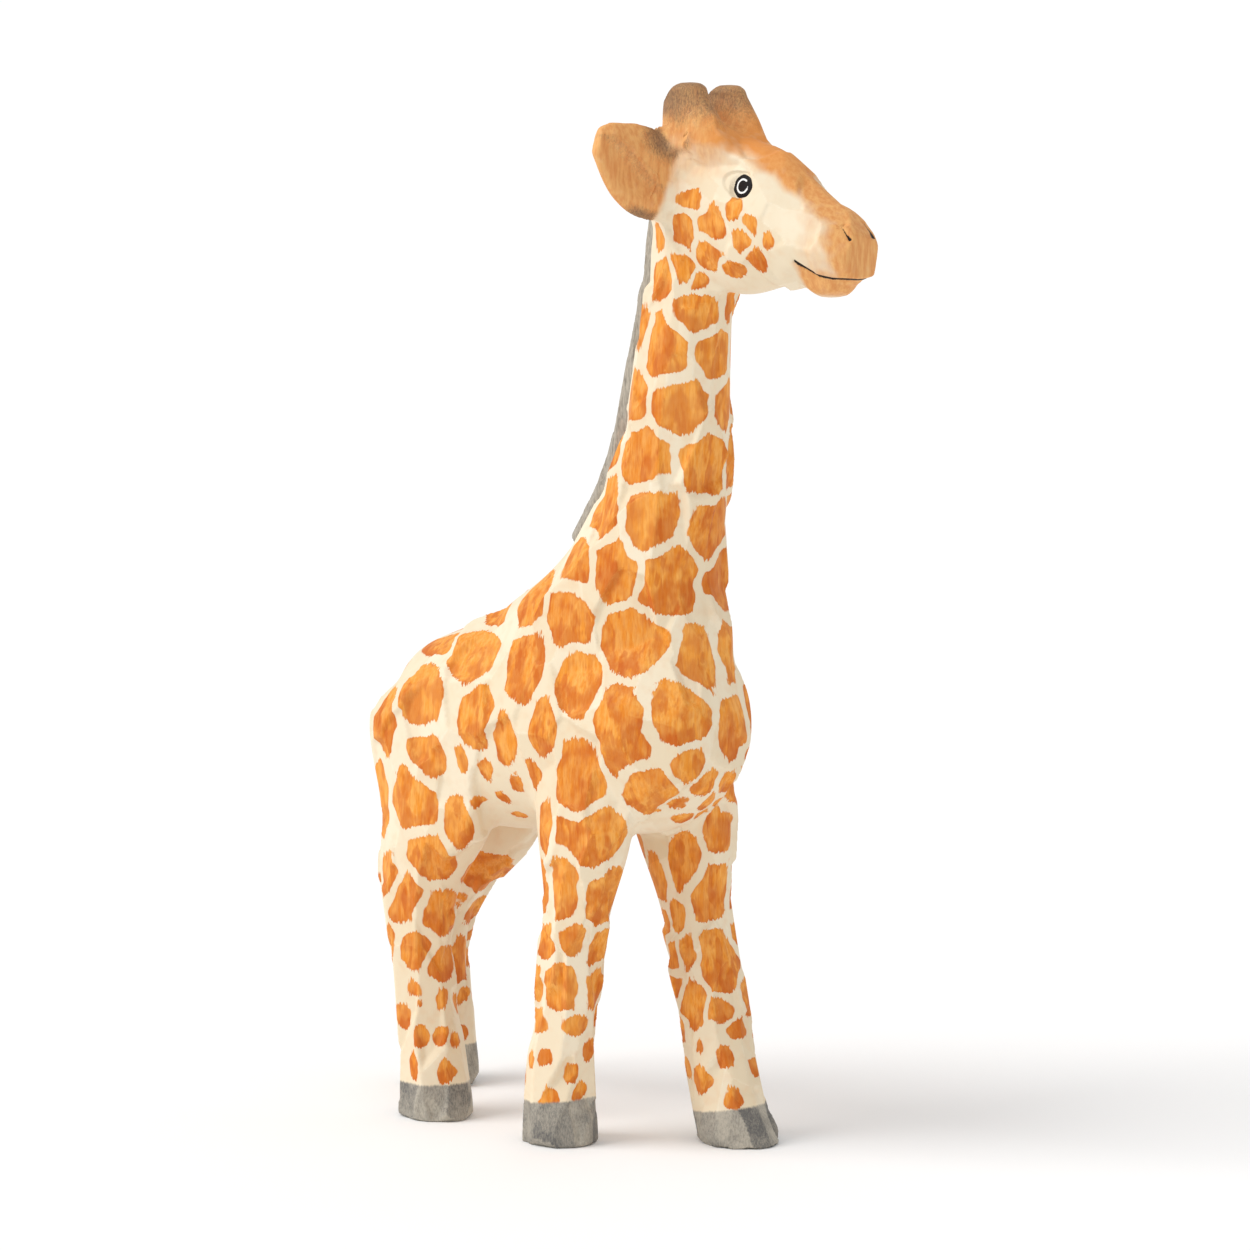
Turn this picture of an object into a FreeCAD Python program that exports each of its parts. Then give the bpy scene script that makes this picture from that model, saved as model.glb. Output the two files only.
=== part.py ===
"""Carved and painted wooden giraffe, standing in a slow walk.

Millimetres, +X towards the nose, +Y to the giraffe's left, +Z up, floor at Z = 0.
Every form is a loft through oval hoops. Whole animal forms (trunk, neck, legs, head) are lofted
first, then sawn apart on flat glue planes, so neighbouring pieces meet exactly. Round dowels and
round tenons stand in sockets of their own size. The pieces are placed last, so that the origin is
the middle of the assembled footprint on the floor.
"""
import FreeCAD, Part
import math
import os

doc = FreeCAD.newDocument("giraffe_statue")
sheet = doc.addObject("Spreadsheet::Sheet", "Sizes")
V = FreeCAD.Vector
Turn = FreeCAD.Rotation

UPRIGHT = Turn()                        # hoop lies flat, its long radius along X
CROSSWISE = Turn(V(0, 1, 0), -90)       # hoop faces along X, its long radius along Z
cells = {}


def size(name, value):
    """Write one driving number into the sheet and return the expression that reads it."""
    if name not in cells:
        row = len(cells) + 1
        sheet.set(f"A{row}", name.replace("_", " "))
        sheet.set(f"B{row}", str(round(float(value), 3)))
        sheet.setAlias(f"B{row}", name)
        cells[name] = value
    return "Sizes." + name


def drive(shape, where, expression):
    shape.setExpression(where, expression)
    return shape


def hoop(name, centre, long_radius, short_radius, turn):
    """One oval hoop of a loft, with its centre and both radii read from the sheet."""
    oval = doc.addObject("Part::Ellipse", name)
    oval.Placement = FreeCAD.Placement(V(*centre), turn)
    for axis, value in zip("xyz", centre):
        drive(oval, f".Placement.Base.{axis}", size(f"{name}_centre_{axis}", value))
    drive(oval, "MajorRadius", size(f"{name}_long_radius", long_radius))
    drive(oval, "MinorRadius", size(f"{name}_short_radius", short_radius))
    return oval


def loft(name, hoops):
    form = doc.addObject("Part::Loft", name)
    form.Sections = hoops
    form.Solid = True
    form.Ruled = False
    form.MaxDegree = 3
    return form


def rising(name, sections, side=0.0, turn=UPRIGHT):
    """Loft up the Z axis. A section is height, centre x, centre y, radius in x, radius in y."""
    hoops = [hoop(f"{name}_hoop_{i + 1}", (x, side + y, z), rx, ry, turn)
             for i, (z, x, y, rx, ry) in enumerate(sections)]
    return loft(name, hoops)


def lengthwise(name, sections, shrink=0.0):
    """Loft along the X axis. A section is x, centre height, radius in z, radius in y."""
    hoops = [hoop(f"{name}_hoop_{i + 1}", (x, 0, z), rz - shrink, ry - shrink, CROSSWISE)
             for i, (x, z, rz, ry) in enumerate(sections)]
    return loft(name, hoops)


def round_bar(name, radius, length, start, direction=V(0, 0, 1)):
    """A cylinder from `start` along `direction`, its radius and length read from the sheet."""
    bar = doc.addObject("Part::Cylinder", name)
    bar.Placement = FreeCAD.Placement(start, Turn(V(0, 0, 1), direction))
    drive(bar, "Radius", radius)
    drive(bar, "Height", length)
    return bar


def block(name, low, high):
    """A box between two corners, used as a saw cut or a keeping region."""
    box = doc.addObject("Part::Box", name)
    box.Placement.Base = V(*low)
    box.Length = high[0] - low[0]
    box.Width = high[1] - low[1]
    box.Height = high[2] - low[2]
    return box


def joined(name, *shapes):
    union = doc.addObject("Part::MultiFuse", name)
    union.Shapes = list(shapes)
    return union


def kept(name, shape, region):
    part = doc.addObject("Part::MultiCommon", name)
    part.Shapes = [shape, region]
    return part


def cut(name, shape, *tools):
    """Take one or more tools away from a shape."""
    result = doc.addObject("Part::Cut", name)
    result.Base = shape
    result.Tool = tools[0] if len(tools) == 1 else joined(name + "_tools", *tools)
    return result


# ---- driving sizes that are shared by several pieces -------------------------------------------
LEG_JOINT = 57.0          # height of the glue faces at the tops of the legs, just under the belly
NECK_JOINT = 116.0        # height of the glue face between shoulders and neck
HEAD_JOINT = 168.0        # height of the glue face between neck and head
LEG_SPACING = 11.7        # each leg's middle, sideways from the middle plane
GLUE_GAP = 0.5            # empty end left in every dowel socket

for word, value in (("leg_joint_height", LEG_JOINT), ("neck_joint_height", NECK_JOINT),
                    ("head_joint_height", HEAD_JOINT), ("glue_gap", GLUE_GAP),
                    ("leg_dowel_radius", 2.5), ("leg_dowel_length", 18.0),
                    ("neck_dowel_radius", 4.0), ("neck_dowel_length", 26.0),
                    ("head_dowel_radius", 3.0), ("head_dowel_length", 18.0),
                    ("ear_tenon_radius", 2.0), ("ear_tenon_length", 6.0),
                    ("horn_tenon_radius", 2.2), ("horn_tenon_length", 7.0),
                    ("tail_tenon_radius", 1.6), ("tail_tenon_length", 7.0)):
    size(word, value)

# Keeping regions between the glue planes, generously larger than the animal.
FAR = 150.0
below_leg_joint = block("below_leg_joint", (-FAR, -FAR, -1), (FAR, FAR, LEG_JOINT))
above_leg_joint = block("above_leg_joint", (-FAR, -FAR, LEG_JOINT), (FAR, FAR, FAR))
below_neck_joint = block("below_neck_joint", (-FAR, -FAR, -1), (FAR, FAR, NECK_JOINT))
neck_region = block("neck_region", (-FAR, -FAR, NECK_JOINT), (FAR, FAR, HEAD_JOINT))
head_region = block("head_region", (-FAR, -FAR, HEAD_JOINT), (FAR, FAR, 2 * FAR))
drive(below_leg_joint, "Height", "Sizes.leg_joint_height + 1")
drive(below_neck_joint, "Height", "Sizes.neck_joint_height + 1")
drive(neck_region, "Height", "Sizes.head_joint_height - Sizes.neck_joint_height")
drive(above_leg_joint, ".Placement.Base.z", "Sizes.leg_joint_height")
drive(neck_region, ".Placement.Base.z", "Sizes.neck_joint_height")
drive(head_region, ".Placement.Base.z", "Sizes.head_joint_height")

# ---- whole animal forms -------------------------------------------------------------------------
barrel = lengthwise("barrel", (
    (-50.5, 81, 6.0, 5.6), (-48, 80, 12.0, 10.5), (-42, 79, 17.5, 15.0), (-33, 79.5, 20.5, 17.0),
    (-21, 81.0, 22.9, 18.0), (-7, 82.8, 23.4, 18.0), (7, 84, 23.8, 17.5), (18, 84.5, 22.5, 16.0),
    (26, 84.5, 18.0, 13.0), (30.5, 84, 12.5, 9.5), (32.5, 84, 6.5, 5.5)))

neck_form = rising("neck_form", (
    (86, 1, 0, 28.0, 13.0), (96, 2, 0, 29.0, 14.8), (106, 4.7, 0, 25.5, 15.0),
    (114, 10.0, 0, 19.2, 14.0), (124, 15.1, 0, 15.2, 12.2), (136, 19.3, 0, 12.1, 10.6),
    (148, 21.1, 0, 11.0, 9.3), (160, 22.6, 0, 9.9, 8.6), (172, 24.0, 0, 9.5, 8.3),
    (184, 25.6, 0, 9.2, 8.0)))

# Leg sections: height, fore-and-aft middle, sideways shift of the middle, two radii.
# The hooves flare, the shins are slim, and the thigh ends inside the trunk.
FRONT_RADII = ((0, 7.7, 6.8), (6, 7.5, 6.6), (12, 7.0, 6.3), (21, 6.6, 6.1), (33, 6.8, 6.1),
               (45, 7.7, 6.4), (54, 9.8, 7.0), (67, 12.2, 7.5), (88, 14.0, 6.5))
HIND_RADII = ((0, 7.4, 6.6), (6, 7.2, 6.4), (12, 6.7, 6.1), (24, 6.3, 5.8), (36, 7.1, 6.0),
              (47, 10.0, 6.4), (56, 13.0, 7.0), (67, 14.1, 7.5), (88, 13.0, 6.5))
INWARD = (0, 0, 0, 0, 0, 0, 0.2, 0.7, 3.0)      # how far each section leans to the middle plane
STRIDE = {
    "leg_front_right": (-0.3, -0.4, -0.1, 0.9, 2.6, 4.3, 5.4, 5.6, 6.0),
    "leg_front_left": (26.6, 24.3, 22.4, 20.4, 17.6, 14.8, 12.9, 11.0, 9.0),
    "leg_hind_right": (-34.3, -34.6, -35.2, -36.6, -38.0, -37.6, -34.4, -34.2, -32.6),
    "leg_hind_left": (-55.0, -54.8, -55.0, -55.2, -54.0, -46.8, -40.2, -35.6, -32.6),
}
STOUTER = {"leg_front_left": 0.6}      # extra radius of a leg that was left a little thicker
LEG_NAMES = list(STRIDE)


def side_of(name):
    """+1 for a left piece and -1 for a right piece."""
    return 1 if name.endswith("left") else -1


leg_form = {}
for name in LEG_NAMES:
    radii = FRONT_RADII if "front" in name else HIND_RADII
    outward = side_of(name)
    more = STOUTER.get(name, 0)
    rings = [(z, x, outward * (LEG_SPACING - lean), rx + more, ry + more)
             for (z, rx, ry), x, lean in zip(radii, STRIDE[name], INWARD)]
    leg_form[name] = rising(name + "_form", rings)

SKULL = ((14.6, 189.5, 6.0, 5.0), (16.6, 189, 9.0, 7.2), (20.5, 187.8, 12.0, 8.8),
         (26, 186.3, 14.2, 9.7), (34, 184.6, 15.8, 9.9), (41, 183.8, 15.0, 9.6),
         (47, 183.6, 13.2, 8.9), (52, 182.2, 10.8, 8.1), (57, 180.6, 8.4, 7.5),
         (61.5, 179.4, 7.0, 7.0), (65, 178.4, 5.9, 5.9), (67, 177.6, 4.4, 4.4))
JAW = ((50, 175.0, 4.6, 4.4), (55, 174.0, 3.8, 3.8), (60, 174.2, 4.2, 4.2),
       (63.5, 174.6, 3.7, 3.7), (65.2, 174.9, 2.6, 2.6))
CORE_DEPTH = 1.1          # depth of the mouth groove below the carved surface
skull = lengthwise("skull", SKULL)
jaw = lengthwise("jaw", JAW)
skull_core = lengthwise("skull_core", SKULL[7:-1], CORE_DEPTH)
jaw_core = lengthwise("jaw_core", JAW[:-1], CORE_DEPTH)

# ---- ears, horns, mane and tail -----------------------------------------------------------------
EAR_BACK = math.radians(20)       # how far the ears are swept back
EAR_UP = math.radians(16)         # how far the ears rise
EAR_OUTLINE = ((-2.2, -0.3, 7.2, 3.2), (1.5, -0.4, 8.8, 3.4), (6, 0.2, 9.2, 3.1), (10.5, 1.0, 7.9, 2.6),
               (14, 2.2, 5.6, 2.1), (16.2, 3.1, 3.2, 1.5))
EAR_ROOT = (24.0, 8.2, 191.2)
# Horn sections: height, middle in x, middle in y, radius in x, radius in y.
HORN_SECTIONS = ((196, 30.0, 5.0, 9.6, 4.5), (199, 29.5, 5.1, 8.7, 4.1), (204, 28.0, 5.4, 6.8, 3.6),
                 (209.4, 27.3, 5.7, 4.1, 2.9))
HORN_SHORTER = {"right": 0.0, "left": 0.9}      # the left horn is cut a little lower
HORN_EDGE = 0.9                   # bevel round the flat top of each horn

ear_form = {}
horn_form = {}
for side, outward in (("right", -1), ("left", 1)):
    along = V(-math.sin(EAR_BACK) * math.cos(EAR_UP),
              outward * math.cos(EAR_BACK) * math.cos(EAR_UP),
              math.sin(EAR_UP))
    up = V(0, 0, 1) - along * along.z
    up.normalize()
    across = along.cross(up)
    root = V(EAR_ROOT[0], outward * EAR_ROOT[1], EAR_ROOT[2])
    hoops = []
    for i, (step, raised, half_height, half_thickness) in enumerate(EAR_OUTLINE):
        centre = root + along * step + up * raised
        hoops.append(hoop(f"ear_{side}_hoop_{i + 1}", tuple(centre), half_height,
                          half_thickness, Turn(up, across, along, "XYZ")))
    leaf = loft(f"ear_{side}_leaf", hoops)
    # The scoop is a shallow dish in the forward face of the leaf.
    forward = across if across.x > 0 else across.negative()
    dish = doc.addObject("Part::Ellipsoid", f"ear_{side}_dish")
    dish.Placement = FreeCAD.Placement(root + along * 7.0 - up * 1.0 + forward * 4.2,
                                       Turn(up, along, up.cross(along), "XYZ"))
    drive(dish, "Radius1", size("ear_dish_depth_radius", 2.6))
    drive(dish, "Radius2", size("ear_dish_height_radius", 6.2))
    drive(dish, "Radius3", size("ear_dish_length_radius", 7.4))
    inner_end = 2.0 + cells["ear_tenon_length"]
    tenon = round_bar(f"ear_{side}_tenon", "Sizes.ear_tenon_radius",
                      "Sizes.ear_tenon_length + 1", root - along * inner_end, along)
    hole = round_bar(f"ear_{side}_hole", "Sizes.ear_tenon_radius",
                     "Sizes.ear_tenon_length + Sizes.glue_gap",
                     root - along * (inner_end + GLUE_GAP), along)
    ear_form[side] = (leaf, dish, tenon, hole)

    horn_rings = [(z, x, outward * y, rx, ry) for z, x, y, rx, ry in HORN_SECTIONS]
    top_ring = horn_rings.pop()
    horn_rings.append((top_ring[0] - HORN_SHORTER[side],) + top_ring[1:])
    stub = rising(f"horn_{side}_stub", horn_rings)
    peg_foot = V(29.5, outward * 5.0, HORN_SECTIONS[0][0] - cells["horn_tenon_length"])
    peg = round_bar(f"horn_{side}_tenon", "Sizes.horn_tenon_radius",
                    "Sizes.horn_tenon_length + 1", peg_foot)
    socket = round_bar(f"horn_{side}_hole", "Sizes.horn_tenon_radius",
                       "Sizes.horn_tenon_length + Sizes.glue_gap", peg_foot - V(0, 0, GLUE_GAP))
    horn_form[side] = (stub, peg, socket)


def bent(name, path):
    """Loft along a curve in the middle plane.

    A section is x, height, lean of its axis from upright in degrees, radius in the plane of the
    curve, radius sideways.
    """
    hoops = [hoop(f"{name}_hoop_{i + 1}", (x, 0, z), thick, wide, Turn(V(0, 1, 0), lean))
             for i, (x, z, lean, thick, wide) in enumerate(path)]
    return loft(name, hoops)


# The mane is a narrow crest, let into the back of the neck and ending between the horns.
mane_form = bent("mane_form", (
    (-5.2, 117.5, 42, 2.6, 1.5), (-0.6, 124, 33, 2.9, 1.7), (3.0, 130, 25, 3.0, 1.8),
    (6.3, 138, 17, 3.0, 1.8), (9.0, 148, 13, 3.0, 1.8), (11.9, 160, 12, 3.0, 1.8),
    (14.4, 172, 10, 2.9, 1.8), (16.2, 183, 6, 2.7, 1.7), (17.2, 191, 20, 2.6, 1.7),
    (20.0, 196.8, 50, 2.5, 1.6), (24.3, 198.8, 76, 2.2, 1.5)))

# The tail leaves the rump, hangs close against it and ends in a tapered tuft.
tail_form = bent("tail_form", (
    (-47.5, 85.5, -90, 2.2, 2.2), (-50.8, 84.2, -120, 2.1, 2.1), (-52.7, 80.0, -162, 1.9, 1.9),
    (-53.2, 74.5, -176, 1.8, 1.8), (-53.4, 69.0, -178, 1.9, 1.9), (-53.6, 63.0, -180, 2.6, 2.6),
    (-53.6, 57.0, -182, 2.4, 2.4), (-53.2, 51.5, -186, 1.0, 1.0)))
tail_peg = round_bar("tail_tenon", "Sizes.tail_tenon_radius", "Sizes.tail_tenon_length + 1",
                     V(-48.5, 0, 85.5), V(1, 0, 0))
tail_hole = round_bar("tail_hole", "Sizes.tail_tenon_radius",
                      "Sizes.tail_tenon_length + 1 + Sizes.glue_gap", V(-48.5, 0, 85.5), V(1, 0, 0))

# ---- dowels and their sockets -------------------------------------------------------------------
dowels = {}
sockets = {}


def dowel(name, x, y, joint, kind):
    """A dowel standing half in each of two pieces, and the socket drilled for it."""
    half = cells[kind + "_dowel_length"] / 2
    radius = f"Sizes.{kind}_dowel_radius"
    length = f"Sizes.{kind}_dowel_length"
    dowels[name] = round_bar(name, radius, length, V(x, y, joint - half))
    sockets[name] = round_bar(name + "_socket", radius, length + " + 2 * Sizes.glue_gap",
                              V(x, y, joint - half - GLUE_GAP))


dowel("dowel_neck_base", 12.0, 0, NECK_JOINT, "neck")
dowel("dowel_head", 22.8, 0, HEAD_JOINT, "head")
TOP_SECTION = 6           # the leg section that lies next to the glue face
for name in LEG_NAMES:
    dowel("dowel_" + name, STRIDE[name][TOP_SECTION],
          side_of(name) * (LEG_SPACING - INWARD[TOP_SECTION]), LEG_JOINT, "leg")

# ---- carved details of the head -----------------------------------------------------------------
EYE = (43.8, 9.9, 191.2)          # middle of the round hollow that holds each painted eye
MOUTH_CORNER = (56.0, 177.0)      # back end of the mouth line
MOUTH_SLOPE = 21                  # degrees the mouth line falls towards the nose
MOUTH_WIDTH = 0.55
NOSTRIL = (64.2, 3.9, 182.9)


def hollow(name, centre, radii, turn):
    """An egg-shaped gouge cut, with radii along X, Y and Z before it is turned."""
    gouge = doc.addObject("Part::Ellipsoid", name)
    gouge.Placement = FreeCAD.Placement(V(*centre), turn)
    for word, radius, axis in (("Radius2", radii[0], "x"), ("Radius3", radii[1], "y"),
                               ("Radius1", radii[2], "z")):
        drive(gouge, word, size(f"{name}_radius_{axis}", radius))
    return gouge


slab = block("mouth_slab", (0, -12, 0), (16, 12, MOUTH_WIDTH))
slab.Placement = FreeCAD.Placement(V(MOUTH_CORNER[0], -12, MOUTH_CORNER[1]),
                                   Turn(V(0, 1, 0), MOUTH_SLOPE))
mouth = cut("mouth", slab, skull_core, jaw_core)
details = [mouth]
for side, outward in (("right", -1), ("left", 1)):
    details.append(hollow(f"eye_hollow_{side}", (EYE[0], outward * EYE[1], EYE[2]),
                          (5.0, 2.6, 3.6), Turn(V(1, 0, 0), outward * 20)))
    details.append(hollow(f"nostril_{side}", (NOSTRIL[0], outward * NOSTRIL[1], NOSTRIL[2]),
                          (1.9, 0.9, 0.5), Turn(V(0, 1, 0), 40)))

# ---- the pieces ---------------------------------------------------------------------------------
pieces = {}
lower_legs = {name: kept(name + "_lower", leg_form[name], below_leg_joint) for name in LEG_NAMES}
shoulders = [kept(name + "_top", leg_form[name], above_leg_joint) for name in LEG_NAMES]
withers = kept("withers", neck_form, below_neck_joint)
body_form = joined("body_form", barrel, withers, *shoulders)
body_tools = [sockets["dowel_" + name] for name in LEG_NAMES]
body_tools += [sockets["dowel_neck_base"], tail_form, tail_hole]
pieces["trunk"] = cut("trunk", body_form, *body_tools)

for name in LEG_NAMES:
    pieces[name] = cut(name, lower_legs[name], sockets["dowel_" + name])

neck_blank = kept("neck_blank", neck_form, neck_region)
pieces["neck"] = cut("neck", neck_blank, mane_form, sockets["dowel_neck_base"],
                     sockets["dowel_head"])

nape = kept("nape", neck_form, head_region)
head_form = joined("head_form", skull, jaw, nape)
head_tools = details + [mane_form, sockets["dowel_head"]]
for side in ("right", "left"):
    leaf, dish, tenon, hole = ear_form[side]
    stub, peg, socket = horn_form[side]
    head_tools += [leaf, hole, stub, socket]
    pieces["ear_" + side] = cut("ear_" + side, joined(f"ear_{side}_whole", leaf, tenon), dish)
    pieces["horn_" + side] = joined("horn_" + side, stub, peg)
pieces["head"] = cut("head", head_form, *head_tools)
pieces["mane"] = cut("mane", mane_form, *[horn_form[side][0] for side in ("right", "left")])
pieces["tail"] = joined("tail", tail_form, tail_peg)
for name, bar in dowels.items():
    pieces[name] = bar

# The bevel on a horn needs its top edge, which exists only after the loft has been made.
doc.recompute()
for side in ("right", "left"):
    stub = horn_form[side][0]
    top = HORN_SECTIONS[-1][0] - HORN_SHORTER[side] - 0.1
    edges = [i + 1 for i, edge in enumerate(stub.Shape.Edges) if edge.BoundBox.ZMin > top]
    bevelled = doc.addObject("Part::Chamfer", f"horn_{side}_bevelled")
    bevelled.Base = stub
    bevelled.Edges = [(edge, HORN_EDGE, HORN_EDGE) for edge in edges]
    pieces["horn_" + side].Shapes = [bevelled, horn_form[side][1]]
doc.recompute()

# ---- place, check and write ---------------------------------------------------------------------
box = FreeCAD.BoundBox()
for piece in pieces.values():
    box.add(piece.Shape.optimalBoundingBox(False, False))
to_origin = V(-(box.XMin + box.XMax) / 2, -(box.YMin + box.YMax) / 2, -box.ZMin)

for thing in doc.Objects:
    state = [word for word in thing.State if word in ("Invalid", "Error")]
    if state:
        raise RuntimeError(f"{thing.Name} is {state}")

os.makedirs("parts", exist_ok=True)
for name, piece in pieces.items():
    piece.Label = name
    piece.Placement = FreeCAD.Placement(piece.Placement.Base + to_origin, piece.Placement.Rotation)
    shape = piece.Shape
    if shape.isNull() or not shape.isValid() or len(shape.Solids) != 1:
        raise RuntimeError(f"{name} is not one sound solid: {len(shape.Solids)} solids")
    shape.exportStep(f"parts/{name}.step")
    print(f"{name:24s} {shape.Volume:10.1f} mm3  {shape.BoundBox}")
print("origin shift", to_origin, "overall", box.XLength, box.YLength, box.ZLength)
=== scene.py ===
import math

import bmesh
import bpy
import numpy as np
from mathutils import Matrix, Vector, kdtree, noise
from mathutils.bvhtree import BVHTree


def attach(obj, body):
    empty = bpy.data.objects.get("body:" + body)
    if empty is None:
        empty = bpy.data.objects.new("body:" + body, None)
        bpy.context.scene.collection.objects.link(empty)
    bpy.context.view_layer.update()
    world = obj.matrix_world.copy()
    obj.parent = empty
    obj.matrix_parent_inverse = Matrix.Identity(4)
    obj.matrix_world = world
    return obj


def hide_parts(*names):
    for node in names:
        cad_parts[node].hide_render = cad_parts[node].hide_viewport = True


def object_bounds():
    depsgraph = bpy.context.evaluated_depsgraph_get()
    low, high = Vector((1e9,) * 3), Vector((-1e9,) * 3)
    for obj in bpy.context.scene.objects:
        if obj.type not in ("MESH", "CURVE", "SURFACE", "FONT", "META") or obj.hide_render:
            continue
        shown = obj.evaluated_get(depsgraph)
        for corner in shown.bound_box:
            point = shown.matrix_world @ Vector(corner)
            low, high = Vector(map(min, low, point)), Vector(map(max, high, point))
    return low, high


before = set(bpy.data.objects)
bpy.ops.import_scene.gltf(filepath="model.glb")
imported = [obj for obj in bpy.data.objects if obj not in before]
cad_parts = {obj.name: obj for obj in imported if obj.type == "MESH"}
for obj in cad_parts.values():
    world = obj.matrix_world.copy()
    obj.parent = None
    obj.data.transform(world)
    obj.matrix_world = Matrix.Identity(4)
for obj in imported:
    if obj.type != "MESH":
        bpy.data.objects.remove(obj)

CAD_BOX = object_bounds()
MM = 0.001

# ---------------------------------------------------------------- camera, light and floor

CAMERA_PLACE = (0.7737, -0.8546, 0.2650)
CAMERA_AIM = (0.0042, 0.0, 0.1024)
SENSOR = 36.0
LENS = 170.6


def aimed(thing, place, aim):
    """Puts a camera or lamp at a place, looking at a point."""
    thing.location = place
    away = Vector(aim) - Vector(place)
    thing.rotation_euler = away.to_track_quat("-Z", "Y").to_euler()
    bpy.context.scene.collection.objects.link(thing)
    return thing


camera_data = bpy.data.cameras.new("camera")
camera_data.lens = LENS
camera_data.sensor_width = SENSOR
camera_data.dof.use_dof = False
camera_data.clip_end = 20
bpy.context.scene.camera = aimed(
    bpy.data.objects.new("camera", camera_data), CAMERA_PLACE, CAMERA_AIM
)


MIDDLE = (0.0, 0.0, 0.10)
KEY_FROM = (-0.50, -0.70, 0.80)
sun = bpy.data.lights.new("key_light", "SUN")
sun.energy = 1.68
sun.angle = math.radians(38)
sun.color = (1.0, 0.995, 0.985)
aimed(bpy.data.objects.new("key_light", sun), KEY_FROM, (0, 0, 0))

world = bpy.data.worlds.new("studio")
bpy.context.scene.world = world
world.use_nodes = True
world.node_tree.nodes["Background"].inputs["Color"].default_value = (1, 1, 1, 1)
world.node_tree.nodes["Background"].inputs["Strength"].default_value = 0.72
bpy.context.scene.view_settings.view_transform = "Standard"
bpy.context.scene.view_settings.look = "None"


# ---------------------------------------------------------------- node helpers


class Nodes:
    """Short calls for building one material's node tree."""

    def __init__(self, name):
        self.material = bpy.data.materials.new(name)
        self.material.use_nodes = True
        self.tree = self.material.node_tree
        self.tree.nodes.clear()
        self.out = self.tree.nodes.new("ShaderNodeOutputMaterial")
        self.shader = self.tree.nodes.new("ShaderNodeBsdfPrincipled")
        self.tree.links.new(self.shader.outputs[0], self.out.inputs["Surface"])
        self.place = self.tree.nodes.new("ShaderNodeTexCoord").outputs["Object"]

    def link(self, source, socket):
        if isinstance(source, bpy.types.NodeSocket):
            self.tree.links.new(source, socket)
        else:
            socket.default_value = source

    def maths(self, operation, a, b=0.0, c=0.0, clamp=False):
        node = self.tree.nodes.new("ShaderNodeMath")
        node.operation = operation
        node.use_clamp = clamp
        for value, socket in zip((a, b, c), node.inputs):
            self.link(value, socket)
        return node.outputs[0]

    def step(self, value, low, high, to_low=0.0, to_high=1.0):
        """Smoothly from one value to another as the input passes from low to high."""
        node = self.tree.nodes.new("ShaderNodeMapRange")
        node.interpolation_type = "SMOOTHSTEP"
        for name, v in zip(
            ("Value", "From Min", "From Max", "To Min", "To Max"),
            (value, low, high, to_low, to_high),
        ):
            self.link(v, node.inputs[name])
        return node.outputs["Result"]

    def attribute(self, name):
        node = self.tree.nodes.new("ShaderNodeAttribute")
        node.attribute_name = name
        return node.outputs["Fac"]

    def stretched(self, sizes, shift=0.0):
        """Object coordinates divided by a size in millimetres along each axis."""
        node = self.tree.nodes.new("ShaderNodeMapping")
        self.link(self.place, node.inputs["Vector"])
        node.inputs["Scale"].default_value = [1000.0 / s for s in sizes]
        node.inputs["Location"].default_value = (shift, shift * 0.7, shift * 1.3)
        return node.outputs[0]

    def noise(self, sizes, detail=2.0, rough=0.5, shift=0.0):
        """Noise of about 0 to 1, with blobs of the given sizes in millimetres."""
        node = self.tree.nodes.new("ShaderNodeTexNoise")
        self.link(self.stretched(sizes, shift), node.inputs["Vector"])
        node.inputs["Scale"].default_value = 1.0
        node.inputs["Detail"].default_value = detail
        node.inputs["Roughness"].default_value = rough
        return node.outputs["Fac"]

    def cells(self, sizes, shift=0.0, feature="F1", output="Color"):
        node = self.tree.nodes.new("ShaderNodeTexVoronoi")
        self.link(self.stretched(sizes, shift), node.inputs["Vector"])
        node.inputs["Scale"].default_value = 1.0
        node.feature = feature
        return node.outputs[output]

    def mix(self, share, a, b, blend="MIX"):
        node = self.tree.nodes.new("ShaderNodeMix")
        node.data_type = "RGBA"
        node.blend_type = blend
        self.link(share, node.inputs[0])
        self.link(a, node.inputs[6])
        self.link(b, node.inputs[7])
        return node.outputs[2]

    def bump(self, height, depth_mm, below=None):
        node = self.tree.nodes.new("ShaderNodeBump")
        node.inputs["Distance"].default_value = depth_mm * MM
        node.inputs["Strength"].default_value = 1.0
        self.link(height, node.inputs["Height"])
        if below is not None:
            self.link(below, node.inputs["Normal"])
        return node.outputs[0]


def srgb(r, g, b):
    """A linear colour from the 0 to 255 values a colour card gives."""
    def linear(v):
        v /= 255.0
        return v / 12.92 if v <= 0.04045 else ((v + 0.055) / 1.055) ** 2.4

    return (linear(r), linear(g), linear(b), 1.0)


# ---------------------------------------------------------------- the carved form

VOXEL = 0.42


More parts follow.
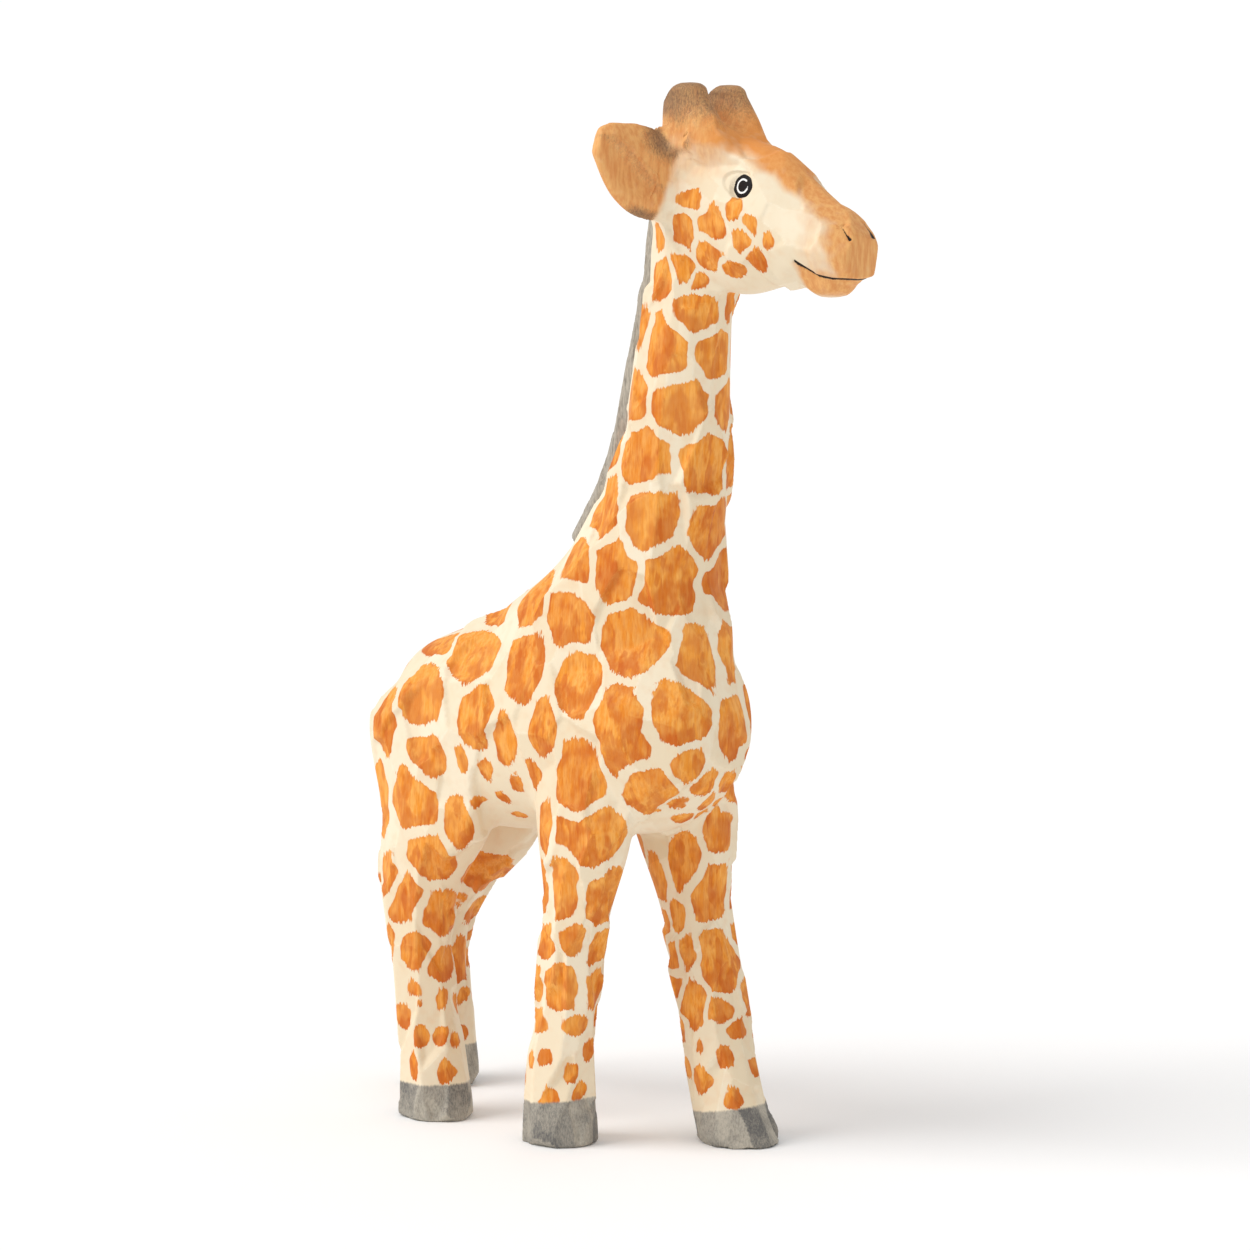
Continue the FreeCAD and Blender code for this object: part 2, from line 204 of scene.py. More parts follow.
def grid_mesh(names, voxel):
    """One closed skin round the named CAD nodes, in millimetres: (points, quads)."""
    holder = bpy.data.meshes.new("joined")
    bm = bmesh.new()
    for name in names:
        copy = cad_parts[name].data.copy()
        copy.materials.clear()
        bm.from_mesh(copy)
        bpy.data.meshes.remove(copy)
    bmesh.ops.remove_doubles(bm, verts=bm.verts, dist=1e-7)
    bmesh.ops.scale(bm, vec=(1 / MM,) * 3, verts=bm.verts)
    bm.to_mesh(holder)
    bm.free()
    thing = bpy.data.objects.new("joined", holder)
    bpy.context.scene.collection.objects.link(thing)
    remesh = thing.modifiers.new("grid", "REMESH")
    remesh.mode = "VOXEL"
    remesh.voxel_size = voxel
    made = thing.evaluated_get(bpy.context.evaluated_depsgraph_get()).to_mesh()
    points = np.empty(len(made.vertices) * 3)
    made.vertices.foreach_get("co", points)
    faces = np.empty(len(made.loops), np.int64)
    made.loops.foreach_get("vertex_index", faces)
    sizes = np.empty(len(made.polygons), np.int64)
    made.polygons.foreach_get("loop_total", sizes)
    assert (sizes == 4).all()
    bpy.data.objects.remove(thing)
    bpy.data.meshes.remove(holder)
    return points.reshape(-1, 3), faces.reshape(-1, 4)


def edges_of(faces):
    """Every edge once, as pairs of point numbers."""
    pairs = np.concatenate([faces[:, [i, (i + 1) % 4]] for i in range(4)])
    pairs.sort(axis=1)
    return np.unique(pairs, axis=0)


def normals_of(points, faces):
    """Unit normals at the points."""
    a = points[faces[:, 2]] - points[faces[:, 0]]
    b = points[faces[:, 3]] - points[faces[:, 1]]
    flat = np.cross(a, b)
    total = np.zeros_like(points)
    for corner in range(4):
        for axis in range(3):
            total[:, axis] += np.bincount(
                faces[:, corner], weights=flat[:, axis], minlength=len(points)
            )
    return total / np.maximum(np.linalg.norm(total, axis=1, keepdims=True), 1e-12)


def neighbour_mean(values, edges, count):
    """The mean of each point's neighbours."""
    flat = values.reshape(len(values), -1)
    total = np.empty_like(flat)
    for axis in range(flat.shape[1]):
        total[:, axis] = np.bincount(
            edges[:, 0], weights=flat[edges[:, 1], axis], minlength=len(values)
        ) + np.bincount(
            edges[:, 1], weights=flat[edges[:, 0], axis], minlength=len(values)
        )
    return (total / count[:, None]).reshape(values.shape)


SOLID = [
    "trunk", "neck", "head", "ear_right", "ear_left", "horn_right", "horn_left",
    "leg_front_right", "leg_front_left", "leg_hind_right", "leg_hind_left",
]
points, faces = grid_mesh(SOLID, VOXEL)
edges = edges_of(faces)
count = np.bincount(edges.ravel(), minlength=len(points)).astype(float)
print("grid", len(points), len(faces))

LEG_JOINT = 57.0
NECK_JOINT = 116.0
HEAD_JOINT = 168.0

# A skin smoothed only outward fills the corners where the pieces meet, as glue and
# filler do, and leaves the round parts as thick as they were.
corner_fill = 45
points = points.astype(float)
start = points.copy()
for turn in range(corner_fill):
    normal = normals_of(points, faces) if turn % 5 == 0 else normal
    move = neighbour_mean(points, edges, count) - points
    outward = np.einsum("ij,ij->i", move, normal)
    points += normal * np.maximum(outward, 0)[:, None] * 0.9
filled = np.einsum("ij,ij->i", points - start, normal)
for turn in range(3):
    points += (neighbour_mean(points, edges, count) - points) * 0.5
normal = normals_of(points, faces)


def smoothed(values, turns):
    for _ in range(turns):
        values = neighbour_mean(values, edges, count)
    return values


x, y, z = points.T


def ramp(value, low, high):
    """0 below low, 1 above high, smooth between."""
    t = np.clip((value - low) / (high - low), 0, 1)
    return t * t * (3 - 2 * t)


# ---------------------------------------------------------------- knife cuts

random = np.random.default_rng(11)

EAR_ROOT = np.array([21.7, 8.2, 191.2])
EAR_BACK = math.radians(20)
EAR_RISE = math.radians(16)
ear_along = np.array(
    [
        -math.sin(EAR_BACK) * math.cos(EAR_RISE),
        math.cos(EAR_BACK) * math.cos(EAR_RISE),
        math.sin(EAR_RISE),
    ]
)
ear_up = np.array([0.0, 0.0, 1.0]) - ear_along * ear_along[2]
ear_up /= np.linalg.norm(ear_up)
ear_front = np.cross(ear_along, ear_up)
ear_front *= np.sign(ear_front[0])
EAR_STEPS = (-2.2, 1.5, 6.0, 10.5, 14.0, 16.2)
EAR_RAISED = (-0.3, -0.4, 0.2, 1.0, 2.2, 3.1)
EAR_HALF = (7.2, 8.8, 9.2, 7.9, 5.6, 3.2)
EAR_THICK = (3.2, 3.4, 3.1, 2.6, 2.1, 1.5)


def ear_places(place):
    """Ear coordinates, the same for both ears: along, up from the blade's middle, forward."""
    folded = place.copy()
    folded[:, 1] = np.abs(folded[:, 1])
    away = folded - EAR_ROOT
    step = away @ ear_along
    raised = away @ ear_up - np.interp(step, EAR_STEPS, EAR_RAISED)
    return step, raised, away @ ear_front


# The feet of the horns run smoothly into the skull.
melt = ramp(z, 191.5, 194.5) * ramp(z, 202.5, 199.5) * ramp(x, 38, 34) * (np.abs(y) < 10.5)
for turn in range(30):
    points += (neighbour_mean(points, edges, count) - points) * (0.5 * melt)[:, None]
x, y, z = points.T
step, raised, forward = ear_places(points)
half = np.interp(step, EAR_STEPS, EAR_HALF)
# The scoop lies under a crease that runs from high on the tip to low at the root.
crease = half * np.interp(step, (2.0, 13.0), (-0.10, 0.50))
blade = ramp(step, 1.6, 3.2) * ramp(step, 15.6, 13.4)
blade_zone = (np.abs(y) > 7) & (z > 178) & (z < 204.5) & ((z < 197) | (np.abs(y) > 9.6))
on_blade = blade_zone & (forward > -0.5)
trim = np.where(raised > 0, 0.08, 0.03 + 0.06 * ramp(step, 3.0, 14.0)) * ramp(step, 1.0, 5.0)
trim = np.where(blade_zone, trim * raised, 0.0)
into = (crease - raised) / np.maximum(crease + half, 0.5)
bowl = ramp(into, 0.0, 0.28) * (1 - np.clip(into, 0.1, 1.0)) / 0.9
ear_scoop_zone = np.where(on_blade, bowl * blade, 0.0)
ear_frontward = ear_front * np.array([1.0, 1.0, 1.0])
push = np.repeat(ear_frontward[None, :], len(points), axis=0)
push[:, 1] *= np.sign(y)
horn_lower = np.where(y > 0, 0.9, 0.0)
bevel = (x - 20.4) * -0.60 + (z + horn_lower - 206.0) * 0.80
bevel = np.where((z > 203) & (np.abs(y) < 11), np.maximum(bevel, 0), 0)
points = points - bevel[:, None] * np.array([-0.60, 0.0, 0.80])
trim_up = np.repeat(ear_up[None, :], len(points), axis=0)
trim_up[:, 1] *= np.sign(y)
points = points - trim_up * trim[:, None]
points[:, 0] -= np.where(z > 160, np.maximum(x - 58.0, 0) * 0.09, 0)
points = points - push * (ear_scoop_zone * 1.4)[:, None]
above = np.where(on_blade & (into < 0), ramp(into, -0.45, -0.02), 0.0) * blade
points = points + push * (above * 0.5)[:, None]
normal = normals_of(points, faces)
x, y, z = points.T


CUT_HEIGHTS = (0, 12, 36, 50, 66, 78, 108, 122, 160, 172, 196, 202)
CUT_LENGTHS = (6.0, 10.5, 10.5, 8.0, 7.5, 8.0, 9.0, 10.5, 10.0, 6.0, 5.5, 5.0)
CUT_WIDTHS = (2.4, 2.7, 2.9, 3.4, 4.4, 5.2, 5.0, 4.4, 4.2, 3.8, 3.4, 2.8)


def cut_sizes(place):
    """Half length along the grain and half width across it of a cut at each place."""
    px, py, pz = place.T
    along = np.interp(pz, CUT_HEIGHTS, CUT_LENGTHS)
    across = np.interp(pz, CUT_HEIGHTS, CUT_WIDTHS)
    ears = (pz > 178) & (np.abs(py) > 10) & (px < 27)
    along[ears] = 5.0
    across[ears] = 3.0
    return along, across


def grain_of(place, flat):
    """The direction of the cuts: up the limbs, and along the face from the brow to the nose."""
    grain = np.zeros_like(place)
    grain[:, 2] = 1.0
    grain[:, 0] = np.where(place[:, 2] > 100, 0.15, 0.0)
    face = (place[:, 2] > 170) & (place[:, 0] > 26) & (place[:, 2] < 199)
    grain[face] = (0.9, 0.0, -0.45)
    ears = (place[:, 2] > 180) & (np.abs(place[:, 1]) > 10) & (place[:, 0] < 27)
    grain[ears] = (-0.3, 0.9, 0.25)
    grain[ears, 1] *= np.sign(place[ears, 1])
    turn = random.normal(0, 0.22, len(place))
    side = np.cross(flat, grain)
    grain = grain + side * turn[:, None]
    grain -= flat * np.einsum("ij,ij->i", grain, flat)[:, None]
    weak = np.linalg.norm(grain, axis=1) < 0.2
    grain[weak] = np.cross(flat[weak], (0.0, 1.0, 0.0))
    return grain / np.linalg.norm(grain, axis=1, keepdims=True)


def squashed(place):
    """Places with their heights drawn together below the head, where the cuts are long."""
    flat = place.copy()
    low = place[:, 2] < 170
    flat[low, 2] = 170 + (place[low, 2] - 170) * 0.45
    return flat


SPACING = 1.55
BUCKET = 16.0
NEAR = 14
TILT = np.radians(3.2)
BORDER = 1.5
SHARED = 0.40


def spread_cuts(place, out, tries, sizes, grain_for):
    """Picks the middles of the knife cuts: places no nearer than a cut's own size."""
    place, out = place[tries], out[tries]
    grain = grain_for(place, out)
    along, across = sizes(place)
    side = np.cross(out, grain)
    kept = []
    buckets = {}
    for i in range(len(tries)):
        p = place[i]
        key = tuple((p // BUCKET).astype(int))
        near = []
        for dx in (-1, 0, 1):
            for dy in (-1, 0, 1):
                for dz in (-1, 0, 1):
                    near += buckets.get((key[0] + dx, key[1] + dy, key[2] + dz), ())
        if near:
            away = place[near] - p
            m = (
                (away @ grain[i] / along[i]) ** 2
                + (away @ side[i] / across[i]) ** 2
                + (away @ out[i] / across[i]) ** 2
            )
            alike = (out[near] @ out[i]) > 0.3
            if (m[alike] < SPACING**2).any():
                continue
        kept.append(i)
        buckets.setdefault(key, []).append(i)
    return place[kept], out[kept], grain[kept], side[kept], along[kept], across[kept]


def knife(place, normal, soft_normal, sizes, grain_for, inset_for, tries):
    """Depth to carve at each point so that flat cuts meet in edges, and each point's cut."""
    seed, out, grain, side, along, across = spread_cuts(
        place, soft_normal, tries, sizes, grain_for
    )
    cuts = len(seed)
    print("cuts", cuts)
    flat = out + grain * random.normal(0, TILT, cuts)[:, None]
    flat += side * random.normal(0, TILT * 1.2, cuts)[:, None]
    flat /= np.linalg.norm(flat, axis=1, keepdims=True)
    inset = inset_for(seed) + random.uniform(-0.07, 0.07, cuts)
    tree = kdtree.KDTree(cuts)
    for i, p in enumerate(squashed(seed)):
        tree.insert(p, i)
    tree.balance()
    count_near = min(NEAR, cuts)
    near = np.empty((len(place), count_near), np.int64)
    for i, p in enumerate(squashed(place)):
        near[i] = [hit[1] for hit in tree.find_n(p, count_near)]
    distance = np.empty((len(place), count_near))
    level = np.empty((len(place), count_near))
    for k in range(count_near):
        j = near[:, k]
        away = place - seed[j]
        distance[:, k] = (
            (np.einsum("ij,ij->i", away, grain[j]) / along[j]) ** 2
            + (np.einsum("ij,ij->i", away, side[j]) / across[j]) ** 2
            + (np.einsum("ij,ij->i", away, out[j]) / (across[j] * 1.5)) ** 2
        )
        facing = np.einsum("ij,ij->i", soft_normal, out[j])
        distance[:, k] += 3.0 * np.maximum(0.6 - facing, 0)
        height = np.einsum("ij,ij->i", away, flat[j]) + inset[j]
        lean = np.maximum(np.einsum("ij,ij->i", normal, flat[j]), 0.6)
        level[:, k] = height / lean
    beyond = distance - distance.min(axis=1)[:, None] - SHARED
    level -= BORDER * np.maximum(beyond, 0)
    top = level.max(axis=1)
    owner = near[np.arange(len(place)), level.argmax(axis=1)]
    soft = 0.012
    cut = top + soft * np.log(np.exp((level - top[:, None]) / soft).sum(axis=1))
    ordered = np.sort(level, axis=1)
    return cut, random.uniform(-1, 1, cuts)[owner], ordered[:, -1] - ordered[:, -2]


def inset_at(seed):
    return np.interp(seed[:, 2], (0, 56, 70, 160, 172, 210), (0.20, 0.20, 0.28, 0.26, 0.15, 0.14))


soft_normal = smoothed(normal, 6)
soft_normal /= np.linalg.norm(soft_normal, axis=1, keepdims=True)
cut, tone, arris = knife(
    points, normal, soft_normal, cut_sizes, grain_of, inset_at,
    random.permutation(len(points))[:42000],
)
blade_zone = (np.abs(y) > 7) & (z > 178) & (z < 204.5) & ((z < 197) | (np.abs(y) > 9.6))
deepest = np.interp(z, (195, 197, 206.5, 208.6), (0.85, 0.45, 0.45, 0.04))
depth = np.clip(cut, -0.50, deepest)
concave = ramp(filled, 0.25, 1.1)
depth *= (1 - 0.85 * ear_scoop_zone) * (1 - 0.9 * concave)
depth *= np.where((z > 168) & (x > 26) & (z < 198), 0.8, 1.0)
thin = ramp(ear_places(points)[0], 1.0, 4.0) * blade_zone
depth *= 1 - 0.55 * thin
for turn in range(12):
    around = neighbour_mean(depth, edges, count)
    depth += (around - depth) * 0.7 * thin
for turn in range(4):
    around = neighbour_mean(depth, edges, count)
    depth = np.where(np.abs(depth - around) > 0.12, around, depth)
points = points - normal * depth[:, None]
print("cut depth", np.percentile(depth, (1, 25, 50, 75, 99)))

low = np.array(CAD_BOX[0]) / MM
high = np.array(CAD_BOX[1]) / MM
points = np.clip(points, low, high)
normal = normals_of(points, faces)
x, y, z = points.T

# ---------------------------------------------------------------- painted patches


def centre_at(node, height):
    """The middle of a limb's slice at a height, from its CAD node."""
    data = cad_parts[node].data
    co = np.empty(len(data.vertices) * 3)
    data.vertices.foreach_get("co", co)
    co = co.reshape(-1, 3) / MM
    band = 2.5
    while True:
        part = co[np.abs(co[:, 2] - height) < band]
        if len(part) > 8:
            return (part.min(axis=0)[:2] + part.max(axis=0)[:2]) / 2
        band += 2


FRONT_RIGHT = [
    (52, 82, 4.4, 6.2), (50.5, 5, 5, 5.5), (42, 55, 3.5, 3.7), (41, -5, 3.7, 3.7),
    (41, 115, 3, 4), (33, 68, 3.7, 5.3), (32, 0, 3, 3.7), (25, 33, 2.5, 2.5),
    (25, 120, 3, 3), (18, 78, 1.8, 1.8), (19, -5, 1.8, 1.8), (15, 32, 1.5, 1.7),
    (17, 118, 1.8, 2), (10, 62, 1.8, 1.9), (11, 12, 1.8, 1.8),
    (51, 140, 4, 5), (42, 165, 3.5, 4), (32, 150, 3, 4), (24, 175, 2.5, 2.5),
    (47, -60, 4, 5), (36, -60, 3.5, 4), (52, 200, 4, 5), (40, 220, 3.5, 4.4),
    (30, 205, 2.8, 3), (26, -50, 2.4, 2.6), (20, 230, 1.8, 2), (15, -60, 1.7, 1.8),
    (13, 165, 1.7, 2), (10, 210, 1.6, 1.6),
]
FRONT_LEFT = [
    (49.6, 12, 4.7, 5.3), (38, 77, 2.6, 3.6),
    (36, 15, 4.5, 6.3), (28, 80, 3, 4.9), (27, 32, 2.5, 2.5), (23, 5, 2.2, 2.2),
    (20, 78, 0.8, 1.6), (18, 40, 1.6, 2.4), (15, -15, 2, 2), (13, 90, 2, 3),
    (10, 40, 1.9, 1.9), (51, 130, 4, 5), (41, 140, 3.5, 4.5), (31, 125, 3, 3.6),
    (22, 135, 2.2, 2.6), (14, 140, 1.8, 2), (50, -30, 4.2, 5), (40, -45, 3.6, 4.2),
    (29, -35, 3, 3.6), (51, -90, 4.3, 5.4), (39, -95, 3.7, 4.4), (30, -85, 3, 3.6),
    (22, -60, 2, 2.4), (21, -115, 2, 2.3), (13, -80, 1.8, 2), (49, -150, 4, 5),
    (37, -155, 3.4, 4.4), (28, -145, 2.6, 3), (19, 180, 1.9, 2.2), (12, -150, 1.7, 1.9),
]
HIND_RIGHT = [
    (54, 54, 4.8, 5.4), (45, 90, 4.2, 5.3), (42.6, 8, 4.2, 5), (35, 64, 3.5, 4.5),
    (32, 5, 3, 3.5), (36, 115, 2.5, 3.5), (27, 72, 1.6, 1.6), (24, 65, 0.8, 0.8),
    (25, 14, 1.3, 2), (21, 115, 1.5, 2.5), (17, 63, 1.4, 2), (17, 24, 1.6, 2),
    (16, -5, 1.3, 1.3), (11, 88, 1.3, 2.4), (10, 22, 1.9, 1.9),
    (49, 130, 3.6, 4.6), (40, 160, 3.6, 4.4), (30, 150, 2.6, 3), (24, 180, 2, 2.2),
    (50, -30, 4, 4.6), (41, -60, 3.6, 4.2), (31, -60, 2.8, 3.2), (23, -40, 1.8, 2.1),
    (49, 190, 4, 4.8), (38, 215, 3.4, 4), (29, 225, 2.6, 3), (18, 150, 1.7, 2),
    (17, 215, 1.7, 2), (14, -70, 1.6, 1.8), (11, 175, 1.5, 1.8),
]
HIND_LEFT = [
    (40, 60, 3, 3), (26, 5, 3, 4.7), (19, -10, 1.8, 1.8),
    (11, 5, 1.8, 1.8), (52, 70, 4, 4.4), (44, 110, 4, 5), (34, 110, 3.2, 4),
    (33, 55, 2.6, 3.2), (25, 95, 2, 2.4), (18, 70, 1.6, 2), (12, 100, 1.6, 2),
    (53, -50, 4.3, 5.1), (43, -88, 4, 5), (37, -35, 3.2, 4), (33, -80, 3.2, 4.2),
    (36, -135, 3, 3.8), (26, -60, 2, 2.2), (24, -115, 2, 2.3), (17, -50, 1.6, 2),
    (16, -95, 1.6, 2), (11, -70, 1.6, 1.9), (47, 165, 3.8, 4.6), (30, 170, 2.8, 3.2),
    (48, -130, 3.8, 4.6), (21, 150, 1.8, 2), (14, 175, 1.6, 1.9), (10, -140, 1.5, 1.7),
]
NECK = [
    (165.5, -5, 3.0, 4.2), (165, 39, 5.8, 3.9), (161, 124, 3.0, 5.0), (157.3, 6, 5.3, 6.4),
    (158, 75, 5.6, 6.6), (148, -12, 4.6, 6.2), (147.6, 50, 5.6, 6.4), (148, 115, 4.6, 6.4),
    (136.5, 11, 5.9, 7.0), (137.5, 83, 5.6, 6.8), (137.5, 160, 4.8, 6.0),
    (123.4, 2, 5.7, 6.8), (125.6, 54, 5.9, 6.7), (126, 112, 5.2, 6.8),
    (113.5, -16, 5.2, 6.6), (114.2, 30, 5.8, 6.6), (116, 77, 5.7, 7.0), (115, 110, 5.2, 6.4),
    (166, -50, 5.0, 4.6), (166, -105, 4.2, 5.0), (158, -40, 5.2, 6.2),
    (157, -85, 5.4, 6.4), (158, -140, 4.8, 6.2), (148, -65, 5.6, 6.4),
    (147, -120, 5.2, 6.4), (137.5, -40, 5.6, 6.8), (137, -95, 5.6, 6.8),
    (137.5, -150, 5.0, 6.2), (126, -55, 5.8, 6.8), (125, -110, 5.6, 6.8),
    (124, -160, 4.6, 6.2), (115, -55, 5.6, 6.4), (115, -88, 5.4, 6.4), (115, -125, 5.4, 6.2),
]
SIDE = [
    (5.5, -15, 106.4, 5.8, 6.8), (-6.7, -12.9, 107, 5.4, 6.4), (19, -12, 101.6, 6.3, 5.3),
    (31, -3.2, 97.8, 5.5, 6.6), (20.3, -16, 85.4, 5.8, 7.4), (28.8, -11, 88.9, 6.6, 5.8),
    (23, -12, 73, 5.3, 5.3), (30, -8, 78, 3.5, 3.5), (31, -4, 74, 3, 3),
    (26, -7.3, 69.6, 2.7, 1.9), (24.2, -2.7, 65.4, 2.6, 1.9), (-33, -16, 86, 5.8, 5.8),
    (-22, -14, 96, 5.8, 5.3), (-36.8, -8, 96.2, 6.6, 3.5), (-16.6, -18, 83.6, 4.4, 6.3),
    (-43.2, -17, 80, 3, 7), (-6, -15, 95, 4.5, 6.7), (9, -16, 93, 5.1, 6.5),
    (-10, -18, 80, 3.3, 5.1), (0.8, -18, 83.2, 3.1, 5.8), (-30.9, -17, 75, 5.0, 5.3),
    (-22, -17, 75, 1.4, 3.4), (-16, -17, 73, 2, 2.5), (-3, -16, 74, 1.4, 3.1),
    (10.3, -17, 74.0, 4.7, 7.0), (-34, -19, 65, 5.4, 5.9), (-45, -16, 64, 3.0, 7.0),
    (-23.8, -16, 61.5, 2.9, 4.6), (-20, -14, 66, 1.6, 1.2), (-14, -14, 67, 1.4, 1.4),
    (-9, -15, 71, 1.6, 2), (-13, -11, 63, 1.6, 1), (1, -18, 64, 2.6, 5.5),
    (13, -17, 63.6, 6.6, 5.4), 
]
MIDLINE = [
    (29, 7, 96, 4, 4), (32, 3, 86, 5, 7), (29, 0, 69, 1.6, 2.5), (31, 5, 75, 1.5, 2),
    (-36, 0, 97, 4.5, 4.5), (-23, -3.5, 104, 6.4, 3.4), (-15, 1, 107, 4.5, 5), (17.6, 4.5, 56, 3.7, 5.0), (15, 4.7, 44.6, 1.9, 4.0), (24.5, 9, 62, 2.8, 5.0),
    (5, 5.4, 57, 1.8, 3.6), (-40, 8.7, 45, 6.2, 5.2),
    (-48, -5, 88, 4, 4.5), (-51, 5, 80, 4, 4.5), (-51, -7, 74, 3.6, 5),
    (-48, 6, 68, 3.6, 4.5), (-45, -6, 61, 3.6, 4),
]
CHEEK = [
    (31.2, -10, 186.9, 3.5, 2.4), (29.6, -9, 181.5, 2.9, 4.3), (36.6, -10, 183, 3.3, 3.8),
    (42.5, -9, 186.1, 2.2, 2.1), (46.3, -9, 183.4, 1.8, 1.9), (50.2, -8, 180.6, 1.2, 1.7),
    (44, -9, 179.9, 2.3, 2.4), (46.5, -8, 176.6, 1.8, 2.4), (34.8, -9, 177, 3.1, 3.5),
    (28, -8, 174.3, 2.5, 3.4), (40.6, -8, 174.2, 2.7, 2), (31.2, -6, 171.4, 2.0, 1.9),
    (21.4, -8, 179, 1.6, 3.2), (22.8, -8, 171.6, 2.9, 5.2),
]
CARVING_SHIFT = -2.3

surface = kdtree.KDTree(len(points))
for i, p in enumerate(points):
    surface.insert(p, i)
surface.balance()

spots = []


def add_spot(i, half_width, half_height):
    grow = 1.18 if half_width > 2.6 else 1.12
    spots.append(
        (points[i].copy(), soft_normal[i].copy(), half_width * grow, half_height * grow)
    )


def spots_round(node, rows, low_z, high_z):
    """Places patches given by height and angle round a limb, 0 at the nose, 90 at the right."""
    for height, angle, half_width, half_height in rows:
        centre = centre_at(node, min(max(height, low_z), high_z))
        a = math.radians(angle)
        aim = np.array([math.cos(a), -math.sin(a)])
        band = np.where(np.abs(z - height) < 1.2)[0]
        off = points[band, :2] - centre
        reach = off @ aim
        miss = np.abs(off @ np.array([aim[1], -aim[0]]))
        fit = (miss < 1.5) & (reach > 0) & (reach < 22)
        if not fit.any():
            continue
        chosen = band[fit]
        i = chosen[np.argmin(miss[fit] + np.abs(z[chosen] - height))]
        add_spot(i, half_width, half_height)


spots_round("leg_front_right", FRONT_RIGHT, 4, 55)
spots_round("leg_front_left", FRONT_LEFT, 4, 55)
spots_round("leg_hind_right", HIND_RIGHT, 4, 55)
spots_round("leg_hind_left", HIND_LEFT, 4, 55)
spots_round("neck", NECK, 118, 166)
for side in (-1, 1):
    for px, py, pz, half_width, half_height in SIDE + CHEEK:
        jitter = random.uniform(-1.2, 1.2, 2) if side == 1 else np.zeros(2)
        if side == 1 and pz > 168:
            jitter *= 0.4
        place = (px + CARVING_SHIFT + jitter[0], side * abs(py), pz + jitter[1])
        add_spot(surface.find(place)[1], half_width, half_height)
for px, py, pz, half_width, half_height in MIDLINE:
    add_spot(surface.find((px + CARVING_SHIFT, py, pz))[1], half_width, half_height)
print("spots", len(spots))

warp = np.empty_like(points)
for i, p in enumerate(points):
    q = Vector(p) / 4.5
    warp[i] = noise.noise_vector(q)
painted = points + warp * 0.9

own = np.full(len(points), 99.0)
other = np.full(len(points), 99.0)
own_size = np.ones(len(points))
own_number = np.zeros(len(points), np.int64)
own_down = np.zeros(len(points))
for number, (centre, out, half_width, half_height) in enumerate(spots):
    reach = 2.6 * max(half_width, half_height) + 4
    close = np.where(np.abs(painted - centre).max(axis=1) < reach)[0]
    away = painted[close] - centre
    up = np.array([0.0, 0.0, 1.0]) - out * out[2]
    up /= max(np.linalg.norm(up), 1e-6)
    across = np.cross(up, out)
    u = away @ across / half_width
    v = away @ up / half_height
    w = away @ out / (1.2 * min(half_width, half_height))
    sides = random.integers(5, 8)
    turn = random.uniform(0, 2 * math.pi)
    total = np.zeros(len(close))
    for s in range(sides):
        angle = turn + (s + random.uniform(-0.28, 0.28)) * 2 * math.pi / sides
        edge = random.uniform(0.84, 1.06)
        total += np.maximum((u * math.cos(angle) + v * math.sin(angle)) / edge, 0) ** 9
    e = np.sqrt(total ** (2 / 9) * 0.8 + (u * u + v * v) * 0.2 + w * w)
    facing = soft_normal[close] @ out
    e = e + 2.0 * np.maximum(0.15 - facing, 0)
    wins = e < own[close]
    beaten = close[wins]
    other[beaten] = own[beaten]
    own[beaten] = e[wins]
    own_number[beaten] = number
    own_size[beaten] = (half_width + half_height) / 2
    own_down[beaten] = -v[wins]
    rest = close[~wins]
    other[rest] = np.minimum(other[rest], e[~wins])
gap = 1.9
patch = np.minimum(
    (1 - own) * own_size,
    np.maximum(other - own, 0) * own_size / 2 - gap / 2 * np.clip(own_size / 5, 0.45, 1),
)
patch = np.clip(patch, -3, 3)
patch_mood = random.uniform(0, 1, len(spots))[own_number]
print("patches done")

# ---------------------------------------------------------------- tinted parts of the head

MOUTH_X = (53.0, 55.0, 57.4, 60.5, 65.0)
MOUTH_Z = (176.7, 175.5, 174.1, 173.6, 173.4)
SKULL_TOP_X = (18.0, 24.0, 32.0, 39.0, 45.0, 50.0, 55.0, 59.5, 63.0, 65.0)
SKULL_TOP_Z = (199.8, 200.5, 200.4, 198.8, 196.8, 193.0, 189.0, 186.4, 184.3, 182.0)


def wobble(size, strength, start=0.0):
    """A smooth wandering value at each point."""
    return strength * np.array([noise.noise(Vector(p) / size + Vector((start,) * 3)) for p in points])


drift = wobble(3.0, 1.3)
below_top = np.interp(x, SKULL_TOP_X, SKULL_TOP_Z) - z
band_edge = np.interp(x, (30, 38, 42, 46, 52, 60), (3.0, 1.9, 2.7, 3.1, 2.3, 2.2))
band = ramp(below_top + drift * 0.7, band_edge + 1.5, band_edge - 1.3)
band *= ramp(x, 29.0, 37.0) * (z > 176)
muzzle = ramp(x + drift * 0.9 + 4.0 * (soft_normal[:, 0] - 0.25), 57.6, 63.4)
lip = np.interp(x, MOUTH_X, MOUTH_Z)
chin = ramp(x + drift * 0.5, 51.6, 54.0) * ramp(lip - z, -0.2, 0.3)
crown = ramp(z + drift * 1.8 - 0.22 * np.maximum(x - 31, 0), 189.0, 201.5) * ramp(x, 41, 35)
root_edge = ramp(x + drift, 28.5, 23.5) * ramp(z, 186, 194) * 0.8
crown = np.maximum(crown, root_edge)
step, raised, forward = ear_places(points)
half = np.interp(step, EAR_STEPS, EAR_HALF)
not_horn = 1 - ramp(z, 195.5, 198.0) * ramp(np.abs(y), 10.2, 9.0)
on_ear = ramp(step, -0.6, 1.0) * (np.abs(y) > 6) * (z > 178) * (z < 204.5) * not_horn
is_head = ramp(z, 169, 171)
